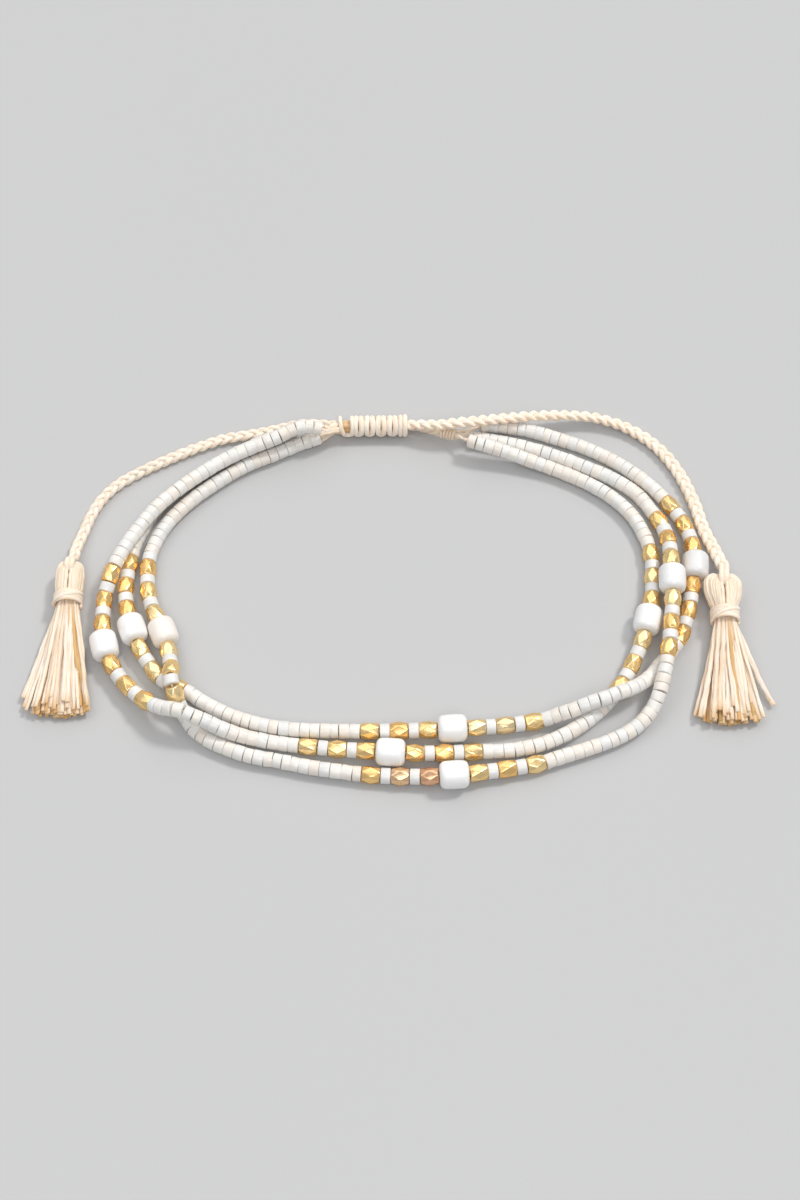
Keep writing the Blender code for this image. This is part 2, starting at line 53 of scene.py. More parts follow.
# Camera
CAMERA_ELEVATION = math.radians(60)
CAMERA_DISTANCE = 277.8 * MM
CAMERA_LENS = 60.0
SENSOR_HEIGHT = 36.0
CAMERA_TARGET = (-0.3, -0.2, 0.0)
NEAREST_SEEN = 0.01

# Floor, room and lamps
FLOOR_SIZE = 8.0
ROOM_LIGHT = 0.4
ROOM_COLOUR = (0.95, 0.97, 1.0, 1.0)
LAMPS = [
    # name, where it shines from, its breadth in degrees, strength, colour
    ("key_right", (0.37, 0.26, 0.60), 11, 1.40, (1.0, 0.985, 0.96)),
    ("panel_back", (-0.05, 0.62, 0.78), 60, 0.82, (1.0, 1.0, 1.0)),
    ("fill_left", (-0.45, 0.05, 0.62), 35, 0.35, (1.0, 0.99, 0.98)),
    ("fill_front", (0.05, -0.45, 0.75), 35, 0.88, (1.0, 1.0, 1.0)),
]

# Smooth curves, and the angle from which an edge shows sharp
CURVE_STEPS = 24
CHORD_REACH = 0.2 * MM
SHARP_EDGE = math.radians(50)

# Seed beads, and their spread in length, girth, play and tilt
SEED_LENGTH = 1.3 * MM
SEED_DRUM = dict(
    sides=20, radius=1.0 * MM, length=SEED_LENGTH, bore=0.42 * MM, edge=0.12 * MM, steps=3
)
SEED_LENGTHS = (0.86, 1.14)
SEED_GIRTHS = (0.97, 1.02)
SEED_PLAY = (0.0, 0.04)
SEED_TILT = 0.035
SEED_ROLLS = (0, math.pi)
SEED_GIRTH = 1.02

# The seed beads between the gold ones
SPACER_LENGTH = 1.04 * SEED_LENGTH
SPACER_GIRTH = 1.06
SPACER_TONE = 0.1

# Gold beads, and their spread in turn, tilt, girth and length
GOLD_RADIUS = 1.2 * MM
GOLD_LENGTH = 2.3 * MM
GOLD_SIDES = 6
GOLD_BEVEL = 0.11 * MM
GOLD_BEVEL_STEPS = 3
GOLD_RIM = 0.42
GOLD_BORE_DEPTH = 0.5 * MM
GOLD_ROLLS = (-0.5, 0.5)
GOLD_TILT = 0.03
GOLD_GIRTHS = (1.03, 1.07)
GOLD_LENGTHS = (1.02, 1.06)
GOLDS_PER_SIDE = 3

# How close a group's beads are drawn to its barrel bead
GROUP_DRAWN = 0.27 * MM
BEAD_SEAM = 0.1 * MM
BARREL_GAP = 0.2 * MM

# Barrel beads
BARREL_RADIUS = 1.9 * MM
BARREL_LENGTH = 3.9 * MM
BARREL_DRUM = dict(
    sides=48, radius=BARREL_RADIUS, length=BARREL_LENGTH, bore=0.55 * MM, edge=0.8 * MM, steps=7,
    crown=0.05 * MM,
)

# The strands' own thread
THREAD_RADIUS = 0.25
THREAD_TONE = 0.5
LINE_STEP = 0.5 * MM

# Sections of the threads: sides, plies, their relief, and the lay in radians a metre
THREADS = {
    "strand": (10, 3, 0.08, 3000),
    "gather": (12, 3, 0.08, 1500),
    "head": (12, 3, 0.08, 1200),
    "head_core": (20, 0, 0, 0),
    "skirt": (10, 3, 0.12, 600),
    "binding": (16, 6, 0.05, 0),
    "laid_end": (14, 5, 0.05, 0),
    "plait": (20, 5, 0.07, 900),
    "wrap": (16, 4, 0.07, 1500),
    "knot_core": (12, 4, 0.07, 900),
    "cord_end": (14, 4, 0.07, 1200),
}
# A thread's end: how far it is rounded, and its cap's width, as shares of its radius
THREAD_TIP = 0.5
THREAD_CAP = 0.6
# Shift of the fibres' pattern from one thread to the next
FIBRE_SHIFT = 0.371

# Braided cords
BRAIDS = {
    # side: reach of the plaits to each side, their half width and half thickness, in mm
    "left": (0.43, 0.37, 0.31),
    "right": (0.53, 0.42, 0.33),
}
CORD_PITCH = 4.6 * MM
BRAID_LIFT = 0.3 * MM
BRAID_STEP = 0.22 * MM
# Steps that each braid goes on back into the knot
BRAID_STEPS_BACK = {"left": 0, "right": 5}
PLAIT_TONES = (0.35, 0.55, 0.75)
# Turn of the flat cords about their own line: share of the way, degrees
CORD_TWISTS = {
    "left": [(0.0, 35), (0.2, 20), (0.45, 0), (0.62, 38), (0.75, 10), (1.0, 35)],
    "right": [(0.0, 30), (0.15, 15), (0.5, 25), (0.7, 0), (1.0, 0)],
}

# Sliding knot, between two points in mm
KNOT_LEFT = (-8.6, 27.9, 1.75)
KNOT_RIGHT = (0.9, 28.1, 1.65)
KNOT_RADIUS = 1.55 * MM
# Its doubled wraps: place along the knot, half the distance of the two legs, radius, in mm
KNOT_WRAPS = [
    (0.72, 0.6, 0.3),
    (2.28, 0.37, 0.41),
    (3.9, 0.37, 0.41),
    (5.54, 0.37, 0.41),
    (7.2, 0.38, 0.42),
]
# The rings at its right end: place along the knot, thread's radius, outer radius, in mm
KNOT_RINGS = [(8.35, 0.34, 1.63), (9.02, 0.36, 1.68)]
RING_STEPS = 49
# A wrap's legs and the bend that joins them, as angles about the knot
LEG_START = math.radians(-70)
LEG_BOTTOM = math.radians(188)
LEG_STEPS = 30
BEND_STEPS = 14
BEND_DROP = 0.42
# The slit between the legs in mm, and the angle from which it opens
KNOT_SLIT = 0.1
SLIT_START = 1.4
# The first wrap's lean to the left in mm, over an arc above its bottom
LEAN = 0.5
LEAN_ARC = 2
WRAP_TONES = (0.3, 0.6)
RING_TONE = 0.5
# The cords inside the knot: angles about it, radius and reach in mm
CORE_ANGLES = (30, 120, 210, 300)
CORE_RADIUS = 0.42
CORE_REACH = (-0.3, 9.3)
CORE_STEPS = 40
# Its high tone paints shade on the core, darker and browner
CORE_SHADE_TONE = 1.7

# Gathers: the threads' starts and their stray, where they meet and how far apart, in mm
GATHERS = {
    "left": dict(
        starts=[(-11.2, 26.1, 3.4), (-11.2, 26.8, 2.3), (-11.3, 26.3, 1.4), (-10.8, 26.4, 2.9)],
        stray=0.35, goal=(-8.95, 27.6, 1.8), spread=0.7, count=15, radius=0.28, tones=(0.3, 1.2),
    ),
    "right": dict(
        starts=[(8.8, 25.3, 2.4), (9.6, 27.15, 1.6), (9.3, 26.1, 1.35)],
        stray=0.1, goal=(7.3, 26.5, 1.7), spread=0.3, count=9, radius=0.2, tones=(0.4, 1.2),
    ),
}
GATHER_STEPS = 12
# Their sideways sways and their lift half-way, in mm
GATHER_SWAYS = (0.15, 0.2)
GATHER_LIFT = 0.25
# The right gather's bundle, which runs back under the cord to the knot, in mm
BUNDLE_ROUTE = [
    (8.0, 26.2, 1.9), (7.2, 26.5, 1.7), (6.4, 26.8, 1.5), (5.4, 27.2, 1.2), (4.2, 27.7, 1.0),
    (2.6, 28.3, 0.85), (1.2, 28.5, 0.8),
]
# Its plies: share of the way, distance of the plies from its line in mm
BUNDLE_REACHES = [(0.0, 0.28), (0.25, 0.28), (0.5, 0.34), (1.0, 0.34)]
BUNDLE_PLIES = 4
BUNDLE_PLY = 0.26
BUNDLE_PITCH = 5 * MM
BUNDLE_STEPS = 60
BUNDLE_TONE = 0.8
# The thread wound round it: way along the bundle, distance from its line, in mm
WHIPPING = [(0.3, 0.66), (2.6, 0.6)]
WHIPPING_TURNS = 5
WHIPPING_STEPS = 120
WHIPPING_THREAD = 0.2
WHIPPING_LOWEST = 0.25
WHIPPING_TONE = 0.9

# Tassels, lying along -Y: the height of their lines in mm
TASSEL_HEIGHT = 2.15
TASSELS = {
    # side: the head's top and the whole length in mm, the turn about Z in degrees, and how
    # far down the head and the neck lie off the solids' places in mm
    "left": ((-46.0, 4.7), 23.5, 0.0, 0.0, 0.2),
    "right": ((44.35, 3.8), 23.8, -1.0, 1.2, 1.8),
}

# The heads' threads in plan, across and down in mm: those along the cleft and the outermost
HEAD_CLEFT = [
    (0.12, 2.3), (0.16, 2.0), (0.24, 2.0), (0.2, 2.5),
    (0.1, 3.1), (0.12, 4.0), (0.15, 4.8), (0.15, 5.6),
]
HEAD_EDGES = {
    "left": [
        (0.3, 1.7), (0.4, 0.8), (0.85, 0.25), (1.45, 0.8),
        (1.72, 2.0), (1.72, 3.3), (1.6, 4.6), (1.2, 5.6),
    ],
    "right": [
        (0.5, 1.9), (0.6, 0.8), (1.2, 0.05), (2.1, 0.5),
        (2.4, 1.7), (2.15, 3.2), (1.65, 4.5), (1.2, 5.6),
    ],
}
HEAD_DEPTHS = [0.5, 1.0, 1.25, 1.45, 1.55, 1.5, 1.35, 1.1]
HEAD_THREAD = 0.25
HEAD_THREADS = 17
HEAD_TILT = 84
HEAD_STEPS = 9
HEAD_STRAYS = (0.06, 0.05)
HEAD_TONES = (0.1, 0.7)
# The cord's end over the head's top: shares of the cord's place across and of the two
# strands' spread, share of the cord's place down, down in mm, share of the head's slide, up
LOOP_PATH = [
    (1.0, 0.4, 1.0, -0.3, 0.0, -0.2),
    (1.0, 1.0, 1.0, 0.35, 0.0, 0.7),
    (0.4, 1.0, 0.0, 0.5, 0.8, 1.45),
    (0.0, 1.0, 0.0, 1.3, 1.0, 1.6),
    (0.0, 0.7, 0.0, 1.9, 1.0, 1.15),
    (0.0, 0.4, 0.0, 2.3, 1.0, 0.2),
]
LOOP_SPREAD = 0.34
LOOP_THREAD = (0.38, 0.34)
LOOP_STEPS = 10
LOOP_TONE = 0.2
# The filling that closes the head inside: down, radius, in mm
HEAD_FILLING = [(1.6, 0.5), (2.4, 1.05), (4.2, 1.05), (5.6, 0.9)]
FILLING_STEPS = 14
# Its high tone paints shade on the filling, darker and browner inside the head
FILLING_SHADE_TONE = 1.6

# Skirts: their start down the tassel, and their reach aside in the neck and at the tips, in mm
SKIRT_START = 5.2
NECK_REACH = 1.25
TIP_REACH = 4.35
SKIRT_THREADS = 72
SKIRT_THREAD = 0.25
SKIRT_CLEAR = 0.03
SKIRT_RISE = 1.9
SKIRT_STEPS = 26
# How late the threads spread, and how soon they sink to the floor
SPREAD_POWER = 1.15
FALL_POWER = 1.7
# Tips: how much shorter the outer, the upper and any are, and their stray aside, in mm
OUTER_SHORTER = 0.8
UPPER_SHORTER = 2.6
ANY_SHORTER = 0.3
TIP_STRAY = 0.35
# One upper thread in so many lies deeper, by this much in mm, and is painted darker along it as
# shade in its crease
SUNK_EVERY = 4
SUNK_FIRST = 2
SUNK_DEPTH = 0.3
# Waves along a thread: least and most height in mm, least and most turn in radians
SWAY_HEIGHTS = (0.1, 0.4)
SWAY_TURNS = (0.8 * math.pi, 2.0 * math.pi)
RIPPLE_HEIGHTS = (0.02, 0.07)
RIPPLE_TURNS = (12, 26)
LIFT_HEIGHT = 0.14
LIFT_TURNS = (1.0 * math.pi, 2.5 * math.pi)
ANY_PHASE = (0, 6.3)
WAVE_FADE = 0.4
# A thread's girth along it, its spread, and the section's width and height as shares
SKIRT_GIRTH = [(0.0, 0.72), (0.35, 0.95), (1.0, 1.0)]
SKIRT_GIRTHS = (0.75, 1.15)
SKIRT_SECTION = (1.2, 0.72)
SKIRT_TIP = 0.35
# Tones: any thread's, the painted shade that a deep one gets as it lies under others, and the brown
# at all tips with the painted shade along a sunk one
SKIRT_TONES = (0.3, 1.05)
DEEP_SHADE_TONE = 1.25
TIP_BROWN_AND_SUNK_SHADE = [(0.0, 0.0), (0.3, 1.0), (0.88, 1.1), (1.0, 1.8)]
# Threads that stray: across and down at the tip, in mm
STRAYS = {
    "left": [(-5.2, 20.6), (-4.9, 22.0), (3.1, 23.2)],
    "right": [(6.0, 20.6), (5.5, 20.0), (-4.6, 22.4)],
}
STRAY_ROOT = 0.8
STRAY_DEPTHS = (-0.6, -0.2)

# Turns of thread round each neck, with the thread's half width in mm
BINDING_TURNS = {"left": (3, 0.4), "right": (6, 0.23)}
BINDING_THICK = 0.23
# Their start down the tassel, their length along it and their distance from its line, in mm
BINDING_START = 4.9
BINDING_LENGTH = 2.3
BINDING_ORBIT = 1.82
BINDING_STEPS = 30
BINDING_TONE = 0.35
# The binding's end, laid slantwise over the turns: angles, reach past them, section, in mm
LAID_ANGLES = (math.radians(10), math.radians(170))
LAID_OVER = 0.16
LAID_PAST = 0.1
LAID_SECTION = (0.28, 0.18)
LAID_TONE = 0.45

# Routes of the strands' threads from the left gather to the right: x,y,z of each point in mm
STRAND_ROUTES = {
    "strand_1": [
        -11.0,25.9,3.5, -11.9,26.0,3.9, -13.4,26.2,4.1, -15.5,25.7,4.2, -18.1,24.4,3.9,
        -21.2,23.3,3.3, -25.2,21.3,3.0, -30.1,17.6,3.0, -34.4,13.3,3.1, -37.6,8.2,3.3,
        -39.5,4.3,3.3, -40.3,2.0,2.9, -41.0,-1.3,2.0, -41.0,-5.0,2.0, -40.5,-8.6,2.0,
        -39.2,-11.6,1.8, -37.0,-14.6,1.8, -34.4,-17.1,2.5, -32.3,-18.6,3.5, -30.4,-19.4,4.4,
        -29.1,-19.8,4.6, -27.6,-20.3,4.2, -25.8,-20.8,3.5, -23.5,-21.6,2.7, -20.9,-22.1,1.7,
        -17.6,-22.6,1.1, -13.6,-23.2,1.1, -10.0,-23.6,1.2, -6.0,-24.0,1.4, -1.4,-24.5,1.8,
        3.4,-24.4,1.4, 7.6,-24.2,1.2, 11.1,-24.0,1.1, 14.5,-23.8,1.1, 18.3,-23.0,1.1,
        21.5,-21.6,1.1, 24.3,-19.8,1.1, 26.6,-17.8,1.1, 28.4,-15.7,1.1, 30.0,-13.4,1.2,
        31.5,-10.5,1.3, 32.9,-7.2,1.6, 33.7,-4.3,1.8, 34.4,-1.3,1.6, 34.8,2.3,1.3, 34.9,6.0,1.2,
        34.2,9.4,1.1, 32.6,12.9,1.1, 30.0,15.9,1.1, 26.9,18.2,1.1, 23.0,20.3,1.1, 19.0,21.8,1.5,
        15.2,23.0,2.2, 12.1,23.8,2.8, 9.9,24.5,2.9, 8.7,25.2,2.5,
    ],
    "strand_2": [
        -11.0,26.9,2.2, -12.5,27.1,2.2, -14.1,27.5,2.2, -15.9,26.8,2.3, -18.2,25.8,2.0,
        -21.4,24.7,1.4, -25.4,22.6,1.1, -30.4,18.8,1.1, -34.7,14.2,1.1, -37.2,8.9,1.1,
        -37.9,6.0,1.1, -38.2,3.4,1.2, -38.3,0.3,1.4, -37.8,-2.7,1.6, -36.9,-5.8,1.8,
        -35.6,-8.9,1.5, -33.9,-11.6,1.2, -32.5,-13.2,1.2, -30.8,-14.2,1.2, -29.0,-15.1,1.1,
        -26.5,-16.8,1.1, -22.8,-18.8,1.1, -18.7,-20.1,1.1, -14.3,-20.8,1.1, -9.0,-21.0,1.1,
        -3.9,-21.1,1.2, 1.3,-21.1,1.4, 6.6,-21.0,1.8, 11.7,-20.5,1.4, 16.8,-19.8,1.2,
        19.1,-19.3,1.2, 21.0,-18.9,1.9, 23.0,-18.5,2.6, 25.0,-17.8,3.1, 26.9,-17.3,3.4,
        29.0,-16.4,3.4, 31.5,-15.0,2.6, 33.5,-13.0,1.5, 35.0,-11.0,1.1, 36.6,-9.0,1.1,
        38.2,-6.4,1.2, 39.5,-2.4,1.4, 40.2,1.1,1.6, 40.8,4.2,1.8, 40.7,7.6,1.6, 39.8,11.3,1.3,
        38.4,14.0,1.2, 36.4,16.9,1.1, 33.7,19.7,1.1, 30.2,22.4,1.1, 26.3,24.6,1.1, 22.3,26.2,1.1,
        18.3,27.6,1.1, 14.3,28.3,1.1, 11.4,28.3,1.1, 9.2,27.0,1.6,
    ],
    "strand_3": [
        -11.1,26.3,1.5, -11.9,26.2,1.3, -14.8,25.2,1.1, -18.2,23.5,1.1, -22.2,21.6,1.1,
        -26.6,18.5,1.1, -30.5,15.0,1.1, -33.5,11.1,1.1, -35.2,6.8,1.1, -35.4,2.3,1.2,
        -34.7,-1.5,1.4, -33.5,-4.3,1.6, -32.3,-7.3,1.8, -31.5,-10.5,2.2, -31.1,-12.6,3.2,
        -31.0,-14.4,3.9, -30.5,-16.1,3.4, -29.8,-17.5,2.1, -29.0,-19.0,1.4, -27.8,-20.7,1.1,
        -26.1,-22.1,1.1, -23.6,-23.4,1.1, -20.4,-24.6,1.1, -16.4,-25.4,1.1, -12.2,-26.3,1.1,
        -7.1,-27.1,1.1, -2.4,-27.6,1.2, 2.7,-27.8,1.4, 7.6,-27.7,1.8, 12.5,-26.9,1.4,
        18.1,-25.8,1.2, 21.4,-24.7,1.1, 24.9,-23.5,1.1, 28.4,-22.1,1.1, 31.2,-20.4,1.2,
        33.1,-18.5,1.7, 34.2,-16.6,2.5, 34.9,-14.5,3.1, 35.5,-12.1,3.5, 36.0,-9.7,3.6,
        36.4,-7.5,3.6, 36.8,-4.3,3.5, 37.1,-1.1,3.6, 37.2,1.9,3.7, 37.3,5.5,3.3, 36.9,9.8,2.0,
        35.5,13.3,1.3, 33.4,16.6,1.1, 30.1,19.2,1.1, 25.9,21.4,1.1, 21.6,23.3,1.1, 17.9,24.6,1.1,
        14.5,25.5,1.1, 11.4,26.1,1.1, 9.1,26.1,1.4,
    ],
}
# Routes of the two free cords, from the knot to the tassels
CORD_ROUTES = {
    "left": [
        -8.9,28.5,0.95, -10.5,28.7,0.8, -12.5,28.9,0.8, -14.4,28.9,0.8, -16.3,28.5,0.8,
        -18.1,28.0,0.8, -20.4,27.4,0.8, -23.0,26.9,0.8, -26.1,26.2,0.8, -29.8,24.7,0.8,
        -33.8,22.7,0.8, -37.4,20.7,0.8, -40.4,18.6,0.8, -42.5,16.3,0.8, -44.0,13.4,0.8,
        -44.9,10.4,0.9, -45.6,7.5,1.4, -45.9,5.0,2.0,
    ],
    "right": [
        1.3,27.8,2.3, 2.9,27.5,2.7, 5.5,27.1,3.3, 8.6,27.2,3.7, 12.1,27.8,3.4, 15.9,28.6,2.9,
        20.0,29.3,2.4, 24.2,29.7,1.9, 28.3,29.6,1.4, 32.0,28.5,1.0, 35.0,26.7,0.8, 37.3,24.4,0.8,
        39.3,21.3,0.8, 40.8,17.8,0.8, 41.8,14.4,0.8, 42.6,10.7,0.9, 43.7,7.3,1.3, 44.6,4.1,2.0,
    ],
}

# Bare thread at each strand's two ends, and the way along it to each barrel bead, in mm
STRAND_TAILS = {"strand_1": (0.7, 1.1), "strand_2": (3.3, 2.6), "strand_3": (0.8, 1.2)}
BARRELS_AT = {
    "strand_1": {"left": 51.3, "front": 97.1, "right": 142.3},
    "strand_2": {"left": 49.2, "front": 98.8, "right": 147.2},
    "strand_3": {"left": 46.1, "front": 98.5, "right": 147.4},
}
# Tones of the barrel beads, from 0 cool through 0.5 white to 1 peach
BARREL_TONES = {
    "strand_1": (0.55, 0.5, 0.5), "strand_2": (0.5, 0.4, 0.05), "strand_3": (1.0, 0.5, 0.35)
}
# Gold beads with a rosy plating: strand, place and number along the group
ROSY_GOLD = {
    ("strand_3", "front", 1): 1.6,
    ("strand_3", "front", 2): 1.9,
    ("strand_2", "front", 4): 1.15,
}

WHITE = (1.0, 1.0, 1.0)
BLACK = (0.0, 0.0, 0.0)
# Beads' surfaces: colours along the tone; patches: noise's scale and detail and the colours
# along it; rough: noise's scale, least, most; relief: noise's scale and detail, strength, mm
SEED_LOOK = dict(
    colours=[(0.0, (0.80, 0.795, 0.78)), (0.5, (0.87, 0.84, 0.79)), (1.0, (0.86, 0.79, 0.71))],
    patches=(900, 4, [(0.3, (0.90, 0.89, 0.88)), (0.7, WHITE)]),
    rough=(700, 0.26, 0.44),
    relief=(1600, 2, 0.12, 0.05),
    Coat_Weight=0.25,
    Coat_Roughness=0.15,
)
GOLD_LOOK = dict(
    colours=[(0.0, (1.0, 0.64, 0.25)), (0.5, (1.0, 0.74, 0.36)), (1.0, (1.0, 0.82, 0.49))],
    deep=(0.84, 0.48, 0.30),
    patches=(1500, 4, [(0.35, (0.96, 0.93, 0.88)), (0.6, WHITE)]),
    rough=(1300, 0.16, 0.34),
    relief=(2200, 3, 0.12, 0.04),
    Metallic=0.8,
    Specular_Tint=(1.0, 0.72, 0.40, 1.0),
)
BARREL_LOOK = dict(
    colours=[(0.0, (0.74, 0.73, 0.73)), (0.5, (0.92, 0.915, 0.905)), (1.0, (0.90, 0.83, 0.76))],
    patches=(350, 3, [(0.35, (0.95, 0.95, 0.95)), (0.65, WHITE)]),
    rough=(500, 0.24, 0.36),
    relief=(500, 2, 0.08, 0.05),
    Coat_Weight=0.3,
    Coat_Roughness=0.12,
    Subsurface_Weight=0.15,
    Subsurface_Scale=0.6 * MM,
    Subsurface_Radius=(1.0, 0.8, 0.6),
)
# The range of the noise that the roughness follows
NOISE_REACH = (0.3, 0.7)
FLOOR_COLOURS = [(0.3, (0.498, 0.498, 0.5)), (0.7, (0.51, 0.51, 0.512))]
# Threads: light and dark of the fibres, and how many fibres there are round a thread
CORD_DYE = ((0.97, 0.885, 0.79), (0.92, 0.75, 0.58), 9.0)
LOOSE_DYE = ((0.97, 0.86, 0.75), (0.91, 0.69, 0.50), 7.0)
FIBRE_DARK, FIBRE_LIGHT = 0.3, 0.62
FIBRE_STRETCH = 0.3
# Painted shade in the creases between threads: its warm colour and its strength
CREASE_SHADE_COLOUR = (0.86, 0.58, 0.30)
CREASE_SHADE_STRENGTH = 0.42
# White where a thread has a flank, by the place round its section: there the crease shade is
# painted
CREASE_SHADE_FLANKS = [
    (0.0, WHITE), (0.13, BLACK), (0.37, BLACK), (0.5, WHITE),
    (0.63, BLACK), (0.87, BLACK), (1.0, WHITE),
]
# Brown of the cut tips, also painted as shade on the knot's core, the head's filling and deep skirt
# threads, over this range of tone
TIP_AND_SHADE_BROWN = (0.78, 0.48, 0.20)
TIP_AND_SHADE_BROWN_TONES = (0.8, 2.0)
DEEPEST_SHADE = 0.86


def mix(a, b, at_a, at_b, t):
    share = (t - at_a) / (at_b - at_a)
    return a * (1 - share) + b * share


def unit(vectors):
    vectors = np.asarray(vectors, float)
    return vectors / np.linalg.norm(vectors, axis=-1, keepdims=True)


def curve_through(points, steps=CURVE_STEPS):
    """A centripetal Catmull-Rom curve through the points, as an array of dense points."""
    ends = np.vstack([2 * points[0] - points[1], points, 2 * points[-1] - points[-2]])
    dense = []
    for i in range(len(points) - 1):
        level = list(ends[i : i + 4])
        gaps = np.sqrt(np.linalg.norm(np.diff(level, axis=0), axis=1))
        knots = np.concatenate([[0.0], np.cumsum(gaps)])
        t = np.linspace(knots[1], knots[2], steps, endpoint=False)[:, None]
        for reach, pairs in ((1, 3), (2, 2)):
            level = [
                mix(level[j], level[j + 1], knots[j], knots[j + reach], t) for j in range(pairs)
            ]
        dense.append(mix(level[0], level[1], knots[1], knots[2], t))
    dense.append(points[-1:])
    return np.vstack(dense)


def along_table(places, table):
    """The second column of a table at places along its first."""
    return np.interp(places, *zip(*table))


class Route:
    """A smooth line through points in mm, read by the distance along it in metres."""

    def __init__(self, points):
        self.points = curve_through(np.reshape(points, (-1, 3)) * MM)
        steps = np.linalg.norm(np.diff(self.points, axis=0), axis=1)
        self.along = np.concatenate([[0.0], np.cumsum(steps)])
        self.length = self.along[-1]

    def points_at(self, distances):
        distances = np.atleast_1d(distances)
        return np.stack(
            [np.interp(distances, self.along, self.points[:, i]) for i in range(3)], axis=1
        )

    def at(self, distances):
        """Points at the distances, and the directions of the line there."""
        ahead = self.points_at(distances + CHORD_REACH)
        behind = self.points_at(distances - CHORD_REACH)
        return self.points_at(distances), unit(ahead - behind)


def level_frames(directions):
    """Directions across a line: level ones, and those nearest to upright."""
    side = unit(np.cross(directions, UP))
    return side, np.cross(side, directions)


def carried_up(directions):
    """Upward directions carried along a line without twist, upright at its start."""
    first = directions[0]
    start = np.array(UP) if abs(first[2]) < 0.9 else np.array((0.0, 1.0, 0.0))
    up = [unit(start - first * (start @ first))]
    for direction in directions[1:]:
        up.append(unit(up[-1] - direction * (up[-1] @ direction)))
    return np.array(up)


def round_line(centres, radius, angles, side, up):
    """Points at a radius round the centres, at angles from side to up."""
    angles = np.atleast_1d(angles)
    return centres + radius * (np.cos(angles)[:, None] * side + np.sin(angles)[:, None] * up)


def placed(name, data):
    made = bpy.data.objects.new(name, data)
    bpy.context.scene.collection.objects.link(made)
    return made


class Shape:
    """Points, faces, texture places and tones of one mesh."""

    def __init__(self):
        self.points = []
        self.faces = []
        self.places = []
        self.tones = []
        self.count = 0

    def add(self, points, faces, tones, places=None):
        self.points.append(points)
        self.tones.append(np.broadcast_to(tones, len(points)))
        for face in faces:
            self.faces.append([index + self.count for index in face])
        if places is None:
            places = np.zeros((sum(len(face) for face in faces), 2))
        self.places.append(places)
        self.count += len(points)

    def made(self, name, surface, slot, node=None):
        """One piece of all that was added, kept above the floor."""
        points = np.vstack(self.points)
        points[:, 2] = np.maximum(points[:, 2], 0.0)
        mesh = bpy.data.meshes.new(name)
        mesh.from_pydata(points.tolist(), [], self.faces)
        tone = mesh.attributes.new("tone", "FLOAT", "POINT")
        tone.data.foreach_set("value", np.concatenate(self.tones).astype(np.float32))
        fibre = mesh.uv_layers.new(name="fibre")
        fibre.data.foreach_set("uv", np.vstack(self.places).astype(np.float32).ravel())
        mesh.materials.append(surface)
        mesh.shade_smooth()
        mesh.set_sharp_from_angle(angle=SHARP_EDGE)
        piece = placed(name, mesh)
        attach(piece, BODY)
        if node:
            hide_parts(node)
        return piece


def capped(values, share=1.0):
    """Values along a thread, with one more for each cap."""
    return np.concatenate([values[:1] * share, values, values[-1:] * share])


def quads_between(rings, count, sides):
    """The faces between rings of points, out of a count of rings."""
    i, k = (grid.ravel() for grid in np.mgrid[0:rings, 0:sides])
    m, n = (i + 1) % count, (k + 1) % sides
    return np.stack([i * sides + k, m * sides + k, m * sides + n, i * sides + n], axis=1)


def sweep(shape, kind, line, size, tone, up=None, tip=THREAD_TIP):
    """A thread along a line; its size in mm is a radius, or half its width and height."""
    sides, lobes, depth, lay = THREADS[kind]
    sizes = [size, size] if np.isscalar(size) else size
    wide, tall, tone = (np.broadcast_to(value, len(line)).astype(float) for value in (*sizes, tone))
    tangent = unit(np.gradient(line, axis=0))
    if up is None:
        up = carried_up(tangent)
    up = unit(up - tangent * np.sum(up * tangent, axis=1, keepdims=True))
    side = capped(np.cross(tangent, up))
    up = capped(up)
    first = line[0] - tangent[0] * tall[0] * MM * tip
    last = line[-1] + tangent[-1] * tall[-1] * MM * tip
    line = np.vstack([first, line, last])
    wide, tall, tone = capped(wide, THREAD_CAP) * MM, capped(tall, THREAD_CAP) * MM, capped(tone)
    along = np.concatenate([[0.0], np.cumsum(np.linalg.norm(np.diff(line, axis=0), axis=1))])
    angle = FULL_TURN * np.arange(sides) / sides
    relief = 1 + depth * np.cos(lobes * (angle[None, :] - lay * along[:, None]))
    across = (relief * np.cos(angle) * wide[:, None])[..., None] * side[:, None]
    upward = (relief * np.sin(angle) * tall[:, None])[..., None] * up[:, None]
    points = (line[:, None] + across + upward).reshape(-1, 3)
    quads = quads_between(len(line) - 1, len(line), sides)
    u = (along / MM + shape.count * FIBRE_SHIFT)[quads // sides]
    v = (quads[:, :1] % sides + [0, 0, 1, 1]) / sides
    places = np.stack([u, v], axis=-1).reshape(-1, 2)
    caps = [list(range(sides)), [(len(line) - 1) * sides + j for j in reversed(range(sides))]]
    places = np.vstack([places, np.zeros((2 * sides, 2))])
    shape.add(points, quads.tolist() + caps, np.repeat(tone, sides), places)


def drum(sides, radius, length, bore, edge, steps, crown=0.0):
    """Points and faces of a drilled drum with rounded edges and crowned sides."""
    half = length / 2
    rim = radius - crown
    turns = [math.pi / 2 * i / steps for i in range(steps + 1)]
    top = [(rim - edge * (1 - math.sin(a)), half - edge * (1 - math.cos(a))) for a in turns]
    reach = half - edge
    flanks = [(radius - crown * share**2, -reach * share) for share in (-0.6, 0.0, 0.6)]
    bottom = [(r, -z) for r, z in reversed(top)]
    section = [*top, *(flanks if crown else []), *bottom, (bore, -half), (bore, half)]
    across, height = np.array(section).T[:, :, None]
    angle = FULL_TURN * np.arange(sides) / sides
    upright = np.broadcast_to(height, (len(section), sides))
    points = np.stack([across * np.cos(angle), across * np.sin(angle), upright], axis=-1)
    return points.reshape(-1, 3), quads_between(len(section), len(section), sides).tolist()


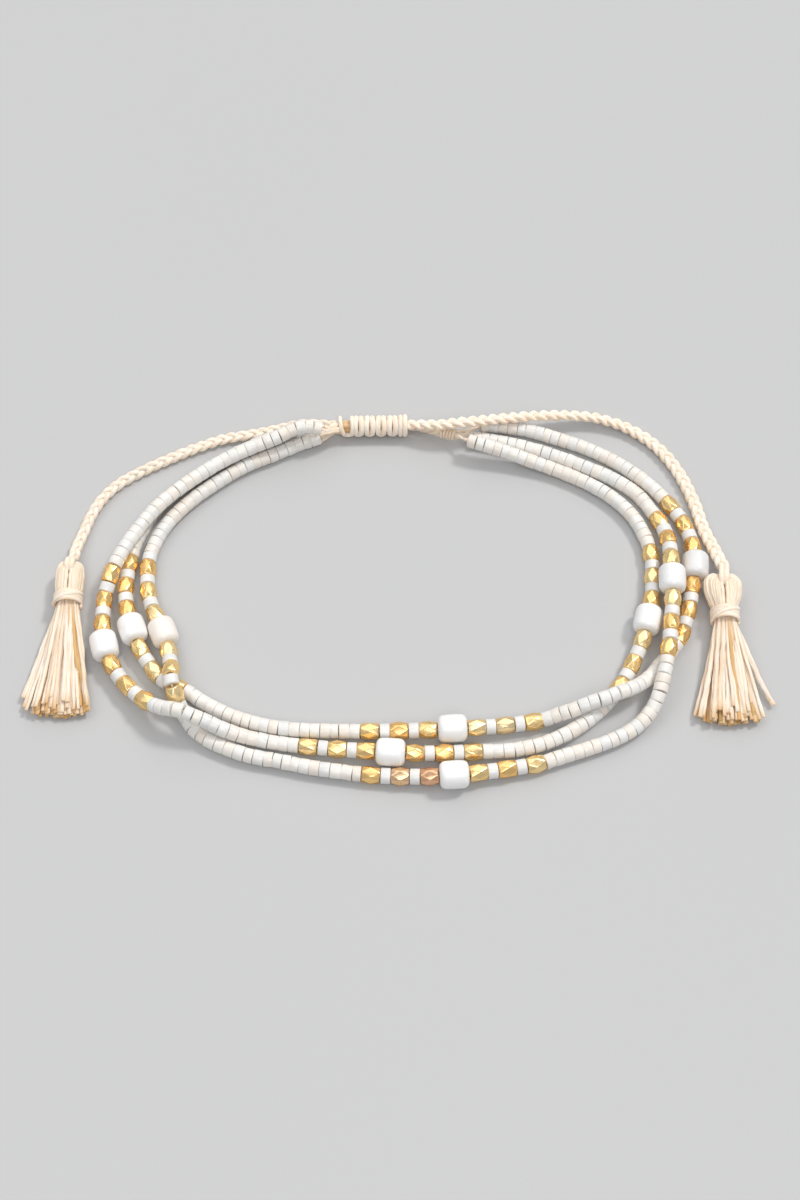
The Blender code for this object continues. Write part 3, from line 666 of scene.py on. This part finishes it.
def faceted_bead():
    """Points and faces of a gold bead: a hexagon, its ends turned by half a step."""
    bm = bmesh.new()
    end_radius = GOLD_RADIUS * math.cos(math.pi / GOLD_SIDES)
    half = GOLD_LENGTH / 2
    rings = ((-half, end_radius, 0.5), (0, GOLD_RADIUS, 0), (half, end_radius, 0.5))
    for height, radius, turn in rings:
        for k in range(GOLD_SIDES):
            angle = FULL_TURN / GOLD_SIDES * (k + turn)
            bm.verts.new((radius * math.cos(angle), radius * math.sin(angle), height))
    bmesh.ops.convex_hull(bm, input=bm.verts)
    bmesh.ops.dissolve_limit(bm, angle_limit=math.radians(1), verts=bm.verts, edges=bm.edges)
    rounded = dict(offset=GOLD_BEVEL, segments=GOLD_BEVEL_STEPS, profile=0.5, affect="EDGES")
    bmesh.ops.bevel(bm, geom=bm.edges, **rounded)
    bm.normal_update()
    ends = [
        face for face in bm.faces if abs(face.normal.z) > 0.999 and len(face.verts) == GOLD_SIDES
    ]
    bmesh.ops.inset_individual(bm, faces=ends, thickness=end_radius * GOLD_RIM)
    bores = bmesh.ops.extrude_discrete_faces(bm, faces=ends)["faces"]
    for face in bores:
        bmesh.ops.translate(bm, verts=face.verts, vec=face.normal * -GOLD_BORE_DEPTH)
    bm.verts.index_update()
    points = np.array([vert.co for vert in bm.verts])
    faces = [[vert.index for vert in face.verts] for face in bm.faces]
    bm.free()
    return points, faces


def thread_bead(shape, bead, point, direction, tone, roll=0.0, tilt=(0.0, 0.0), girth=1, length=1):
    """Adds a bead at a point on a thread, rolled about it and tilted on it."""
    points, faces = bead
    side, up = level_frames(direction[None])
    basis = Matrix(np.stack([side[0], up[0], direction], axis=1).tolist())
    tilted = Matrix.Rotation(tilt[0], 3, "X") @ Matrix.Rotation(tilt[1], 3, "Y")
    turn = np.array(basis @ (tilted @ Matrix.Rotation(roll, 3, "Z")))
    shape.add(points * (girth, girth, length) @ turn.T + point, faces, tone)


def any_bead(shape, bead, route, middle, tone, rng, rolls, tilt, girths, lengths):
    """Adds a bead along its thread, rolled, tilted and sized at random."""
    points, directions = route.at(middle)
    roll = rng.uniform(*rolls)
    tilts = (rng.gauss(0, tilt), rng.gauss(0, tilt))
    sizes = (rng.uniform(*girths), rng.uniform(*lengths))
    thread_bead(shape, bead, points[0], directions[0], tone, roll, tilts, *sizes)


def half_group_length():
    golds = GOLDS_PER_SIDE * (GOLD_LENGTH + 2 * BEAD_SEAM)
    return BARREL_LENGTH / 2 + BARREL_GAP + golds + (GOLDS_PER_SIDE - 1) * SEED_LENGTH


def drawn_share(away):
    """How far a bead is drawn to its barrel bead: 1 at its middle, 0 at the group's end."""
    return math.copysign(1 - abs(away) / half_group_length(), away)


def group_places(centre):
    """Where the gold beads and their spacers sit round a barrel bead."""
    golds, seeds = [], []
    for sign in (-1, 1):
        reached = BARREL_LENGTH / 2 + BARREL_GAP
        for i in range(GOLDS_PER_SIDE):
            if i:
                seeds.append(centre + sign * (reached + SEED_LENGTH / 2))
                reached += SEED_LENGTH
            golds.append(centre + sign * (reached + BEAD_SEAM + GOLD_LENGTH / 2))
            reached += GOLD_LENGTH + 2 * BEAD_SEAM
    return [
        sorted(place - GROUP_DRAWN * drawn_share(place - centre) for place in places)
        for places in (golds, seeds)
    ]


def seed_stretches(strand, length):
    """The stretches of a strand that hold only seed beads."""
    tail_start, tail_end = (value * MM for value in STRAND_TAILS[strand])
    bounds = [tail_start]
    for distance in BARRELS_AT[strand].values():
        bounds += [distance * MM - half_group_length(), distance * MM + half_group_length()]
    bounds.append(length - tail_end)
    return list(zip(bounds[::2], bounds[1::2]))


def seeds_of(strand, route, surface):
    """A strand's seed beads, each a little unlike the next."""
    rng = random.Random(strand)
    bead = drum(**SEED_DRUM)
    places = []
    for start, end in seed_stretches(strand, route.length):
        count = round((end - start) / SEED_LENGTH)
        sizes = np.array([rng.uniform(*SEED_LENGTHS) for _ in range(count)])
        sizes *= (end - start) / sizes.sum()
        middles = start + np.cumsum(sizes) - sizes / 2
        for middle, size in zip(middles, sizes):
            places.append((middle, size, SEED_GIRTH, rng.random()))
    for distance in BARRELS_AT[strand].values():
        for middle in group_places(distance * MM)[1]:
            places.append((middle, SPACER_LENGTH, SPACER_GIRTH, SPACER_TONE))
    shape = Shape()
    for middle, size, girth, tone in places:
        girths = [girth * share for share in SEED_GIRTHS]
        lengths = [size / SEED_LENGTH - play for play in SEED_PLAY]
        spreads = (SEED_ROLLS, SEED_TILT, girths, lengths)
        any_bead(shape, bead, route, middle, tone, rng, *spreads)
    shape.made(f"seed_beads_{strand[-1]}", surface, "seed_white", strand)


def golds_of(strand, route, surface):
    rng = random.Random(f"{strand} gold")
    bead = faceted_bead()
    shape = Shape()
    spreads = (GOLD_ROLLS, GOLD_TILT, GOLD_GIRTHS, GOLD_LENGTHS)
    for place, distance in BARRELS_AT[strand].items():
        for number, middle in enumerate(group_places(distance * MM)[0]):
            tone = ROSY_GOLD.get((strand, place, number), rng.random())
            any_bead(shape, bead, route, middle, tone, rng, *spreads)
    shape.made(f"gold_beads_{strand[-1]}", surface, "gold_bead", strand)


def barrels_of(strand, route, surface):
    bead = drum(**BARREL_DRUM)
    for (place, distance), tone in zip(BARRELS_AT[strand].items(), BARREL_TONES[strand]):
        points, directions = route.at(distance * MM)
        point, direction = points[0], directions[0]
        if point[2] <= BARREL_RADIUS:
            point[2] = BARREL_RADIUS
            direction = unit((direction[0], direction[1], 0.0))
        shape = Shape()
        thread_bead(shape, bead, point, direction, tone)
        name = f"{strand[-1]}_{place}"
        shape.made(f"bead_{name}", surface, "barrel_white", f"barrel_{name}")


def thread_of(strand, route, surface):
    line = route.points_at(np.arange(0.0, route.length, LINE_STEP))
    shape = Shape()
    sweep(shape, "strand", line, THREAD_RADIUS, THREAD_TONE)
    shape.made(f"thread_{strand[-1]}", surface, "cream_thread")


def braid(side, surface):
    """A free cord: three plaits that pass over and under each other, laid flat."""
    route = Route(CORD_ROUTES[side])
    reach_width, *section = BRAIDS[side]
    distances = np.arange(0.0, route.length, BRAID_STEP)
    points, directions = route.at(distances)
    back = np.arange(-BRAID_STEPS_BACK[side], 0)[:, None] * BRAID_STEP
    points = np.vstack([points[0] + back * directions[0], points])
    directions = np.vstack([np.repeat(directions[:1], len(back), axis=0), directions])
    distances = np.concatenate([back[:, 0], distances])
    level, upright = level_frames(directions)
    twist = np.radians(along_table(distances / route.length, CORD_TWISTS[side]))[:, None]
    across = np.cos(twist) * level + np.sin(twist) * upright
    facing = np.cos(twist) * upright - np.sin(twist) * level
    shape = Shape()
    for plait, tone in enumerate(PLAIT_TONES):
        phase = FULL_TURN * (distances / CORD_PITCH + plait / len(PLAIT_TONES))[:, None]
        reach = reach_width * MM * np.sin(phase)
        lift = BRAID_LIFT * np.sin(2 * phase)
        line = points + reach * across + lift * facing
        sweep(shape, "plait", line, section, tone, up=facing)
    return shape.made(f"braid_{side}", surface, "cream_cord", f"cord_{side}"), route


def knot_place(along, angle, radius):
    """Points round the knot: distance from its left end, angle about it, radius."""
    left, right = np.array(KNOT_LEFT) * MM, np.array(KNOT_RIGHT) * MM
    axis = unit(right - left)
    back = unit(np.cross(UP, axis))
    centres = left + np.atleast_1d(along)[:, None] * axis
    return round_line(centres, radius, angle, back, np.cross(axis, back))


def knot_wrap(middle, half, radius, leans):
    """The line of a doubled wrap: up one leg, round the bend, down the other."""
    leg = np.linspace(LEG_START, LEG_BOTTOM, LEG_STEPS)
    bend = np.linspace(0.0, math.pi, BEND_STEPS)[1:-1]
    angle = np.concatenate([leg, LEG_BOTTOM + np.sin(bend) * BEND_DROP, leg[::-1]])
    opened = np.clip((leg - SLIT_START) / (LEG_BOTTOM - SLIT_START), 0, 1)
    bow = half + KNOT_SLIT * np.sin(opened * math.pi)
    lean = leans * LEAN * np.clip((LEG_BOTTOM - leg) / LEAN_ARC, 0, 1)
    along = np.concatenate([middle - bow - lean, middle - half * np.cos(bend), middle + bow[::-1]])
    return knot_place(along * MM, angle, KNOT_RADIUS - radius * MM)


def knot_wraps(surface):
    """The sliding knot: doubled wraps whose legs meet in a bend at the lower front."""
    shape = Shape()
    rng = random.Random("knot")
    for number, (middle, half, radius) in enumerate(KNOT_WRAPS):
        line = knot_wrap(middle, half, radius, number == 0)
        sweep(shape, "wrap", line, radius, rng.uniform(*WRAP_TONES))
    for middle, radius, outer in KNOT_RINGS:
        angle = np.linspace(0.0, FULL_TURN, RING_STEPS)
        line = knot_place(middle * MM, angle, (outer - radius) * MM)
        sweep(shape, "wrap", line, radius, RING_TONE)
    shape.made("knot_wraps", surface, "cream_cord", "sliding_knot")


def knot_core(surface):
    """The cords inside the knot, with painted shade, darker and browner, between its wraps."""
    shape = Shape()
    along = np.linspace(*CORE_REACH, CORE_STEPS) * MM
    for angle in np.radians(CORE_ANGLES):
        line = knot_place(along, angle, CORE_RADIUS * MM)
        sweep(shape, "knot_core", line, CORE_RADIUS, CORE_SHADE_TONE)
    shape.made("knot_core", surface, "cream_cord")


def loose_gather(shape, side, starts, stray, goal, spread, count, radius, tones):
    """Threads that gather from the strands' ends to the knot."""
    rng = random.Random(f"gather {side}")
    for number in range(count):
        start = np.array(starts[number % len(starts)]) + [rng.gauss(0, stray) for _ in range(3)]
        finish = np.add(goal, [0.0, rng.uniform(-spread, spread), rng.uniform(-spread, spread)])
        sway = [*(rng.gauss(0, width) for width in GATHER_SWAYS), GATHER_LIFT]
        middle = (start + finish) / 2 + sway
        start[2] = max(start[2], radius)
        line = curve_through(np.array([start, middle, finish]) * MM, GATHER_STEPS)
        sweep(shape, "gather", line, radius, rng.uniform(*tones))


def wound_line(route, distances, angles, reaches):
    """A line wound round a route, at reaches from it in mm."""
    points, directions = route.at(distances)
    side, up = level_frames(directions)
    return round_line(points, reaches[:, None] * MM, angles, side, up)


def bundle(shape):
    """The wound bundle from the right gather back under the cord to the knot."""
    route = Route(BUNDLE_ROUTE)
    distances = np.linspace(0.0, route.length, BUNDLE_STEPS)
    reaches = along_table(distances / route.length, BUNDLE_REACHES)
    for ply in range(BUNDLE_PLIES):
        angles = FULL_TURN * (distances / BUNDLE_PITCH + ply / BUNDLE_PLIES)
        line = wound_line(route, distances, angles, reaches)
        sweep(shape, "gather", line, BUNDLE_PLY, BUNDLE_TONE)
    angles = np.linspace(0.0, WHIPPING_TURNS * FULL_TURN, WHIPPING_STEPS)
    distances = np.linspace(WHIPPING[0][0], WHIPPING[-1][0], WHIPPING_STEPS)
    line = wound_line(route, distances * MM, angles, along_table(distances, WHIPPING))
    line[:, 2] = np.maximum(line[:, 2], WHIPPING_LOWEST * MM)
    sweep(shape, "gather", line, WHIPPING_THREAD, WHIPPING_TONE)


def gather(side, surface):
    shape = Shape()
    loose_gather(shape, side, **GATHERS[side])
    if side == "right":
        bundle(shape)
    shape.made(f"gather_threads_{side}", surface, "cream_thread", f"gather_{side}")


class Tassel:
    """Places of one tassel, from its own mm: across, down along it, up."""

    def __init__(self, side):
        (x, y), self.length, turn, self.slide, self.neck_slide = TASSELS[side]
        self.origin = np.array((x * MM, y * MM, TASSEL_HEIGHT * MM))
        self.turn = np.array(Matrix.Rotation(math.radians(turn), 3, "Z"))

    def laid(self, across, down, up):
        local = np.stack(np.broadcast_arrays(across, -np.asarray(down, float), up), axis=-1) * MM
        return local @ self.turn.T + self.origin

    def wound(self, down, angle, radius):
        """A line wound round the tassel's own, and the outward directions."""
        line = self.laid(radius * np.cos(angle), down, radius * np.sin(angle))
        return line, line - self.laid(0.0, down, 0.0)


def head_lobes(shape, tassel, side):
    """The two lobes of thread that part round the cord's end."""
    rng = random.Random(f"head {side}")
    cleft = np.array(HEAD_CLEFT)
    edge = np.array(HEAD_EDGES[side])
    slides = np.linspace(tassel.slide, tassel.neck_slide, len(cleft))
    aside, rise = HEAD_STRAYS
    for sign in (-1, 1):
        for tilt in np.radians(np.linspace(-HEAD_TILT, HEAD_TILT, HEAD_THREADS)):
            plan = cleft + (edge - cleft) * math.cos(tilt)
            plan[:, 0] += rng.gauss(0, aside)
            plan[:, 1] += slides
            heights = np.array(HEAD_DEPTHS) * math.sin(tilt) + rng.gauss(0, rise)
            line = curve_through(tassel.laid(plan[:, 0] * sign, plan[:, 1], heights), HEAD_STEPS)
            sweep(shape, "head", line, HEAD_THREAD, rng.uniform(*HEAD_TONES))


def tassel_head(side, surface):
    """The looped head: lobes, the cord's end over its top, and a filling with painted shade."""
    tassel = Tassel(side)
    shape = Shape()
    head_lobes(shape, tassel, side)
    begin = (Route(CORD_ROUTES[side]).points[-1] - tassel.origin) / MM
    begin_across, spread, begin_down, down, slid, up = np.array(LOOP_PATH).T
    for aside in (-LOOP_SPREAD, LOOP_SPREAD):
        across = begin[0] * begin_across + aside * spread
        loop = tassel.laid(across, down - begin[1] * begin_down + tassel.slide * slid, up)
        line = curve_through(loop, LOOP_STEPS)
        sweep(shape, "cord_end", line, LOOP_THREAD, LOOP_TONE)
    down = np.linspace(HEAD_FILLING[0][0], HEAD_FILLING[-1][0], FILLING_STEPS)
    fullness = along_table(down, HEAD_FILLING)
    slides = np.linspace(tassel.slide, tassel.neck_slide, FILLING_STEPS)
    line = tassel.laid(0.0, down + slides, 0.0)
    sweep(shape, "head_core", line, (fullness, fullness), FILLING_SHADE_TONE)
    return shape.made(f"tassel_head_{side}", surface, "cream_thread", f"tassel_{side}")


def skirt_tips(side, length, rng):
    """Each thread's place in the neck, its tip's across and down, if it is sunk, and how deep it
    lies, which sets its painted shade.
    """
    golden_angle = math.pi * (3 - math.sqrt(5))
    tips = []
    for number in range(SKIRT_THREADS):
        ring = math.sqrt((number + 0.5) / SKIRT_THREADS)
        turn = number * golden_angle
        x, z = ring * math.cos(turn), ring * math.sin(turn)
        upper = max(0.0, z) * rng.uniform(0.0, UPPER_SHORTER)
        short = OUTER_SHORTER * x * x + upper + abs(rng.gauss(0, ANY_SHORTER))
        sunk = z > 0 and number % SUNK_EVERY == SUNK_FIRST
        # Lower threads and sunk ones get painted shade by this depth
        deep = max(0.0, -z) + sunk
        across = TIP_REACH * x + rng.gauss(0, TIP_STRAY)
        tips.append((x, z, across, length - short, sunk, deep))
    for across, down in STRAYS[side]:
        root = math.copysign(STRAY_ROOT, across)
        tips.append((root, rng.uniform(*STRAY_DEPTHS), across, down, 0, 0.0))
    return tips


def wave(steps, rng, turns):
    """A wave along a thread, of random length and phase."""
    return np.sin(steps * rng.uniform(*turns) + rng.uniform(*ANY_PHASE))


def skirt(side, surface):
    """The skirt's loose threads, from inside the neck to their cut tips."""
    tassel = Tassel(side)
    rng = random.Random(f"skirt {side}")
    shape = Shape()
    top = SKIRT_START + tassel.neck_slide
    floor = -TASSEL_HEIGHT + SKIRT_THREAD + SKIRT_CLEAR
    steps = np.linspace(0.0, 1.0, SKIRT_STEPS)
    eased = steps**SPREAD_POWER
    fallen = 1 - (1 - steps) ** FALL_POWER
    for x, z, across, down, sunk, deep in skirt_tips(side, tassel.length, rng):
        low = floor + (z + 1) / 2 * SKIRT_RISE - SUNK_DEPTH * sunk
        sway = rng.uniform(*SWAY_HEIGHTS) * wave(steps, rng, SWAY_TURNS)
        sway += rng.uniform(*RIPPLE_HEIGHTS) * wave(steps, rng, RIPPLE_TURNS)
        lift = LIFT_HEIGHT * wave(steps, rng, LIFT_TURNS)
        root_across, root_up = NECK_REACH * x, NECK_REACH * z
        spread = root_across + (across - root_across) * eased
        line_across = spread + sway * steps * (1 - WAVE_FADE * steps)
        line_up = root_up + (low - root_up) * fallen + lift * steps
        line_down = top + (down - top) * steps
        line = tassel.laid(line_across, line_down, np.maximum(line_up, floor))
        girth = along_table(steps, SKIRT_GIRTH) * rng.uniform(*SKIRT_GIRTHS)
        section = [SKIRT_THREAD * girth * share for share in SKIRT_SECTION]
        # Painted shade along deep and sunk threads, and the brown of all tips
        tip_brown_and_sunk_shade = along_table(steps, TIP_BROWN_AND_SUNK_SHADE) - 1
        tip_brown_and_sunk_shade = np.where(tip_brown_and_sunk_shade > 0, tip_brown_and_sunk_shade, tip_brown_and_sunk_shade * sunk)
        tone = rng.uniform(*SKIRT_TONES) + DEEP_SHADE_TONE * deep + tip_brown_and_sunk_shade
        sweep(shape, "skirt", line, section, tone, tip=SKIRT_TIP)
    return shape.made(f"tassel_skirt_{side}", surface, "cream_thread", f"tassel_{side}")


def binding(side, surface):
    """The thread wound round a tassel's neck, with its end laid over the turns."""
    tassel = Tassel(side)
    turns, radius = BINDING_TURNS[side]
    shape = Shape()
    start = BINDING_START + radius + tassel.neck_slide
    stop = start + BINDING_LENGTH - 2 * radius
    angle = np.linspace(0.0, FULL_TURN * turns, BINDING_STEPS * turns)
    line, out = tassel.wound(np.linspace(start, stop, len(angle)), angle, BINDING_ORBIT)
    sweep(shape, "binding", line, (radius, BINDING_THICK), BINDING_TONE, up=out)
    angle = np.linspace(*LAID_ANGLES, BINDING_STEPS)
    down = np.linspace(start - LAID_PAST, stop + LAID_PAST, BINDING_STEPS)
    line, out = tassel.wound(down, angle, BINDING_ORBIT + LAID_OVER)
    sweep(shape, "laid_end", line, LAID_SECTION, LAID_TONE, up=out)
    return shape.made(f"binding_thread_{side}", surface, "cream_thread", f"binding_{side}")


class Surface:
    """A node material, built up step by step."""

    def __init__(self, name):
        self.material = bpy.data.materials.new(name)
        self.material.use_nodes = True
        self.tree = self.material.node_tree
        self.shader = self.tree.nodes["Principled BSDF"]

    def fill(self, node, sockets):
        """Puts values into a node's sockets, and links other nodes' outputs."""
        for name, value in sockets.items():
            if isinstance(value, bpy.types.NodeSocket):
                self.tree.links.new(value, node.inputs[name])
            else:
                node.inputs[name].default_value = value

    def set(self, **values):
        """Fills the shader's own sockets; a name's underscores stand for spaces."""
        self.fill(self.shader, {name.replace("_", " "): value for name, value in values.items()})

    def node(self, kind, output, sockets=(), **settings):
        made = self.tree.nodes.new("ShaderNode" + kind)
        for name, value in settings.items():
            setattr(made, name, value)
        self.fill(made, dict(sockets))
        return made.outputs[output]

    def tone(self):
        return self.node("Attribute", "Fac", attribute_name="tone")

    def fibre(self):
        return self.node("UVMap", "UV", uv_map="fibre")

    def noise(self, scale, detail=3.0, stretch=None):
        """Noise in the object's space, or stretched in the fibre's own."""
        if stretch is None:
            place = self.node("TexCoord", "Object")
        else:
            place = self.node("Mapping", "Vector", {"Vector": self.fibre(), "Scale": stretch})
        return self.node("TexNoise", "Fac", {"Vector": place, "Scale": scale, "Detail": detail})

    def ramp(self, value, stops):
        """Colours along a value, from (place, colour) pairs."""
        colour = self.node("ValToRGB", "Color", {"Fac": value})
        elements = colour.node.color_ramp.elements
        while len(elements) < len(stops):
            elements.new(0.5)
        for element, (place, shown) in zip(elements, stops):
            element.position = place
            element.color = (*shown, 1.0)
        return colour

    def spread(self, value, low, high, new_low, new_high):
        """The value's range moved to a new one."""
        ends = {"From Min": low, "From Max": high, "To Min": new_low, "To Max": new_high}
        return self.node("MapRange", "Result", {"Value": value, **ends})

    def blend(self, share, first, second, way="MIX"):
        """Two colours mixed; sockets 0, 6 and 7 are the share and the colours."""
        second = (*second, 1.0) if isinstance(second, tuple) else second
        sockets = {0: share, 6: first, 7: second}
        return self.node("Mix", 2, sockets, data_type="RGBA", blend_type=way)

    def bump(self, height, strength, distance):
        sockets = {"Height": height, "Strength": strength, "Distance": distance}
        self.set(Normal=self.node("Bump", "Normal", sockets))


def bead_surface(name, colours, patches, rough, relief, deep=None, **finish):
    """A bead's surface: patches in its colour and roughness, and a fine relief."""
    look = Surface(name)
    tone = look.tone()
    colour = look.ramp(tone, colours)
    if deep:
        colour = look.blend(look.spread(tone, 1.0, 2.0, 0.0, 1.0), colour, deep)
    scale, detail, stops = patches
    dimmed = look.ramp(look.noise(scale, detail), stops)
    look.set(Base_Color=look.blend(1.0, colour, dimmed, "MULTIPLY"))
    scale, least, most = rough
    look.set(Roughness=look.spread(look.noise(scale), *NOISE_REACH, least, most), **finish)
    scale, detail, strength, depth = relief
    look.bump(look.noise(scale, detail), strength, depth * MM)
    return look.material


def thread_surface(name, light, dark, fibres):
    """Waxed thread: fine fibres along it, painted warm shade on its flanks in the creases, brown at
    its cut tips, and painted shade, darker and browner, where its tone is high.
    """
    look = Surface(name)
    tone = look.tone()
    fibre = look.noise(scale=1.0, stretch=(FIBRE_STRETCH, fibres, 1.0))
    strands = look.ramp(fibre, [(FIBRE_DARK, dark), (FIBRE_LIGHT, light)])
    # Painted crease shade: a darker warm colour on each thread's flanks
    flanks = look.ramp(look.node("SeparateXYZ", "Y", {"Vector": look.fibre()}), CREASE_SHADE_FLANKS)
    flanks = look.spread(flanks, 0.0, 1.0, 0.0, CREASE_SHADE_STRENGTH)
    strands = look.blend(flanks, strands, CREASE_SHADE_COLOUR)
    # Brown at the cut tips, and painted shade where the tone is high
    tips = look.blend(look.spread(tone, *TIP_AND_SHADE_BROWN_TONES, 0.0, 1.0), strands, TIP_AND_SHADE_BROWN)
    shade = look.spread(tone, 0.0, 2.0, 1.0, DEEPEST_SHADE)
    coloured_and_shaded = look.node("VectorMath", "Vector", {0: tips, "Scale": shade}, operation="SCALE")
    look.set(Base_Color=coloured_and_shaded, Roughness=0.62, Specular_IOR_Level=0.35)
    look.bump(fibre, strength=0.5, distance=0.06 * MM)
    look.set(Sheen_Weight=0.25, Sheen_Roughness=0.4)
    look.set(Subsurface_Weight=0.2, Subsurface_Scale=0.4 * MM)
    look.set(Subsurface_Radius=(1.0, 0.6, 0.35))
    return look.material


def floor():
    look = Surface("floor_grey")
    look.set(Base_Color=look.ramp(look.noise(scale=3.0), FLOOR_COLOURS))
    look.set(Roughness=0.7, Specular_IOR_Level=0.2)
    mesh = bpy.data.meshes.new("floor")
    corners = np.array([(-1, -1, 0), (1, -1, 0), (1, 1, 0), (-1, 1, 0)]) * FLOOR_SIZE / 2
    mesh.from_pydata(corners.tolist(), [], [(0, 1, 2, 3)])
    mesh.materials.append(look.material)
    placed("floor", mesh)


def lights():
    world = bpy.data.worlds.new("studio")
    world.use_nodes = True
    background = world.node_tree.nodes["Background"]
    background.inputs["Color"].default_value = ROOM_COLOUR
    background.inputs["Strength"].default_value = ROOM_LIGHT
    bpy.context.scene.world = world
    for name, place, breadth, strength, colour in LAMPS:
        lamp = bpy.data.lights.new(name, "SUN")
        lamp.angle = math.radians(breadth)
        lamp.energy = strength
        lamp.color = colour
        holder = placed(name, lamp)
        holder.location = place
        holder.rotation_euler = (-Vector(place)).to_track_quat("-Z", "Y").to_euler()


def camera():
    target = Vector(CAMERA_TARGET) * MM
    back = Vector((0.0, -math.cos(CAMERA_ELEVATION), math.sin(CAMERA_ELEVATION)))
    view = bpy.data.cameras.new("camera")
    view.lens = CAMERA_LENS
    view.sensor_fit = "VERTICAL"
    view.sensor_height = SENSOR_HEIGHT
    view.clip_start = NEAREST_SEEN
    holder = placed("camera", view)
    holder.location = target + back * CAMERA_DISTANCE
    holder.rotation_euler = (math.pi / 2 - CAMERA_ELEVATION, 0.0, 0.0)
    bpy.context.scene.camera = holder


def corded_tassel(side, cord_surface, thread):
    piece, route = braid(side, cord_surface)
    ends_in = [tassel_head(side, thread), skirt(side, thread), binding(side, thread)]
    route.points_at(np.arange(0.0, route.length, LINE_STEP))


bpy.context.scene.view_settings.view_transform = "Standard"
camera()
floor()
lights()

cord_thread = thread_surface("cord_braid", *CORD_DYE)
loose_thread = thread_surface("thread_loose", *LOOSE_DYE)
seed_white = bead_surface("seed_pearl", **SEED_LOOK)
gold = bead_surface("gold_polished", **GOLD_LOOK)
barrel_white = bead_surface("barrel_satin", **BARREL_LOOK)

for cord_side in CORD_ROUTES:
    corded_tassel(cord_side, cord_thread, loose_thread)

for strand_name, strand_points in STRAND_ROUTES.items():
    strand_route = Route(strand_points)
    seeds_of(strand_name, strand_route, seed_white)
    golds_of(strand_name, strand_route, gold)
    barrels_of(strand_name, strand_route, barrel_white)
    thread_of(strand_name, strand_route, loose_thread)

for gather_side in GATHERS:
    gather(gather_side, loose_thread)
knot_wraps(cord_thread)
knot_core(cord_thread)
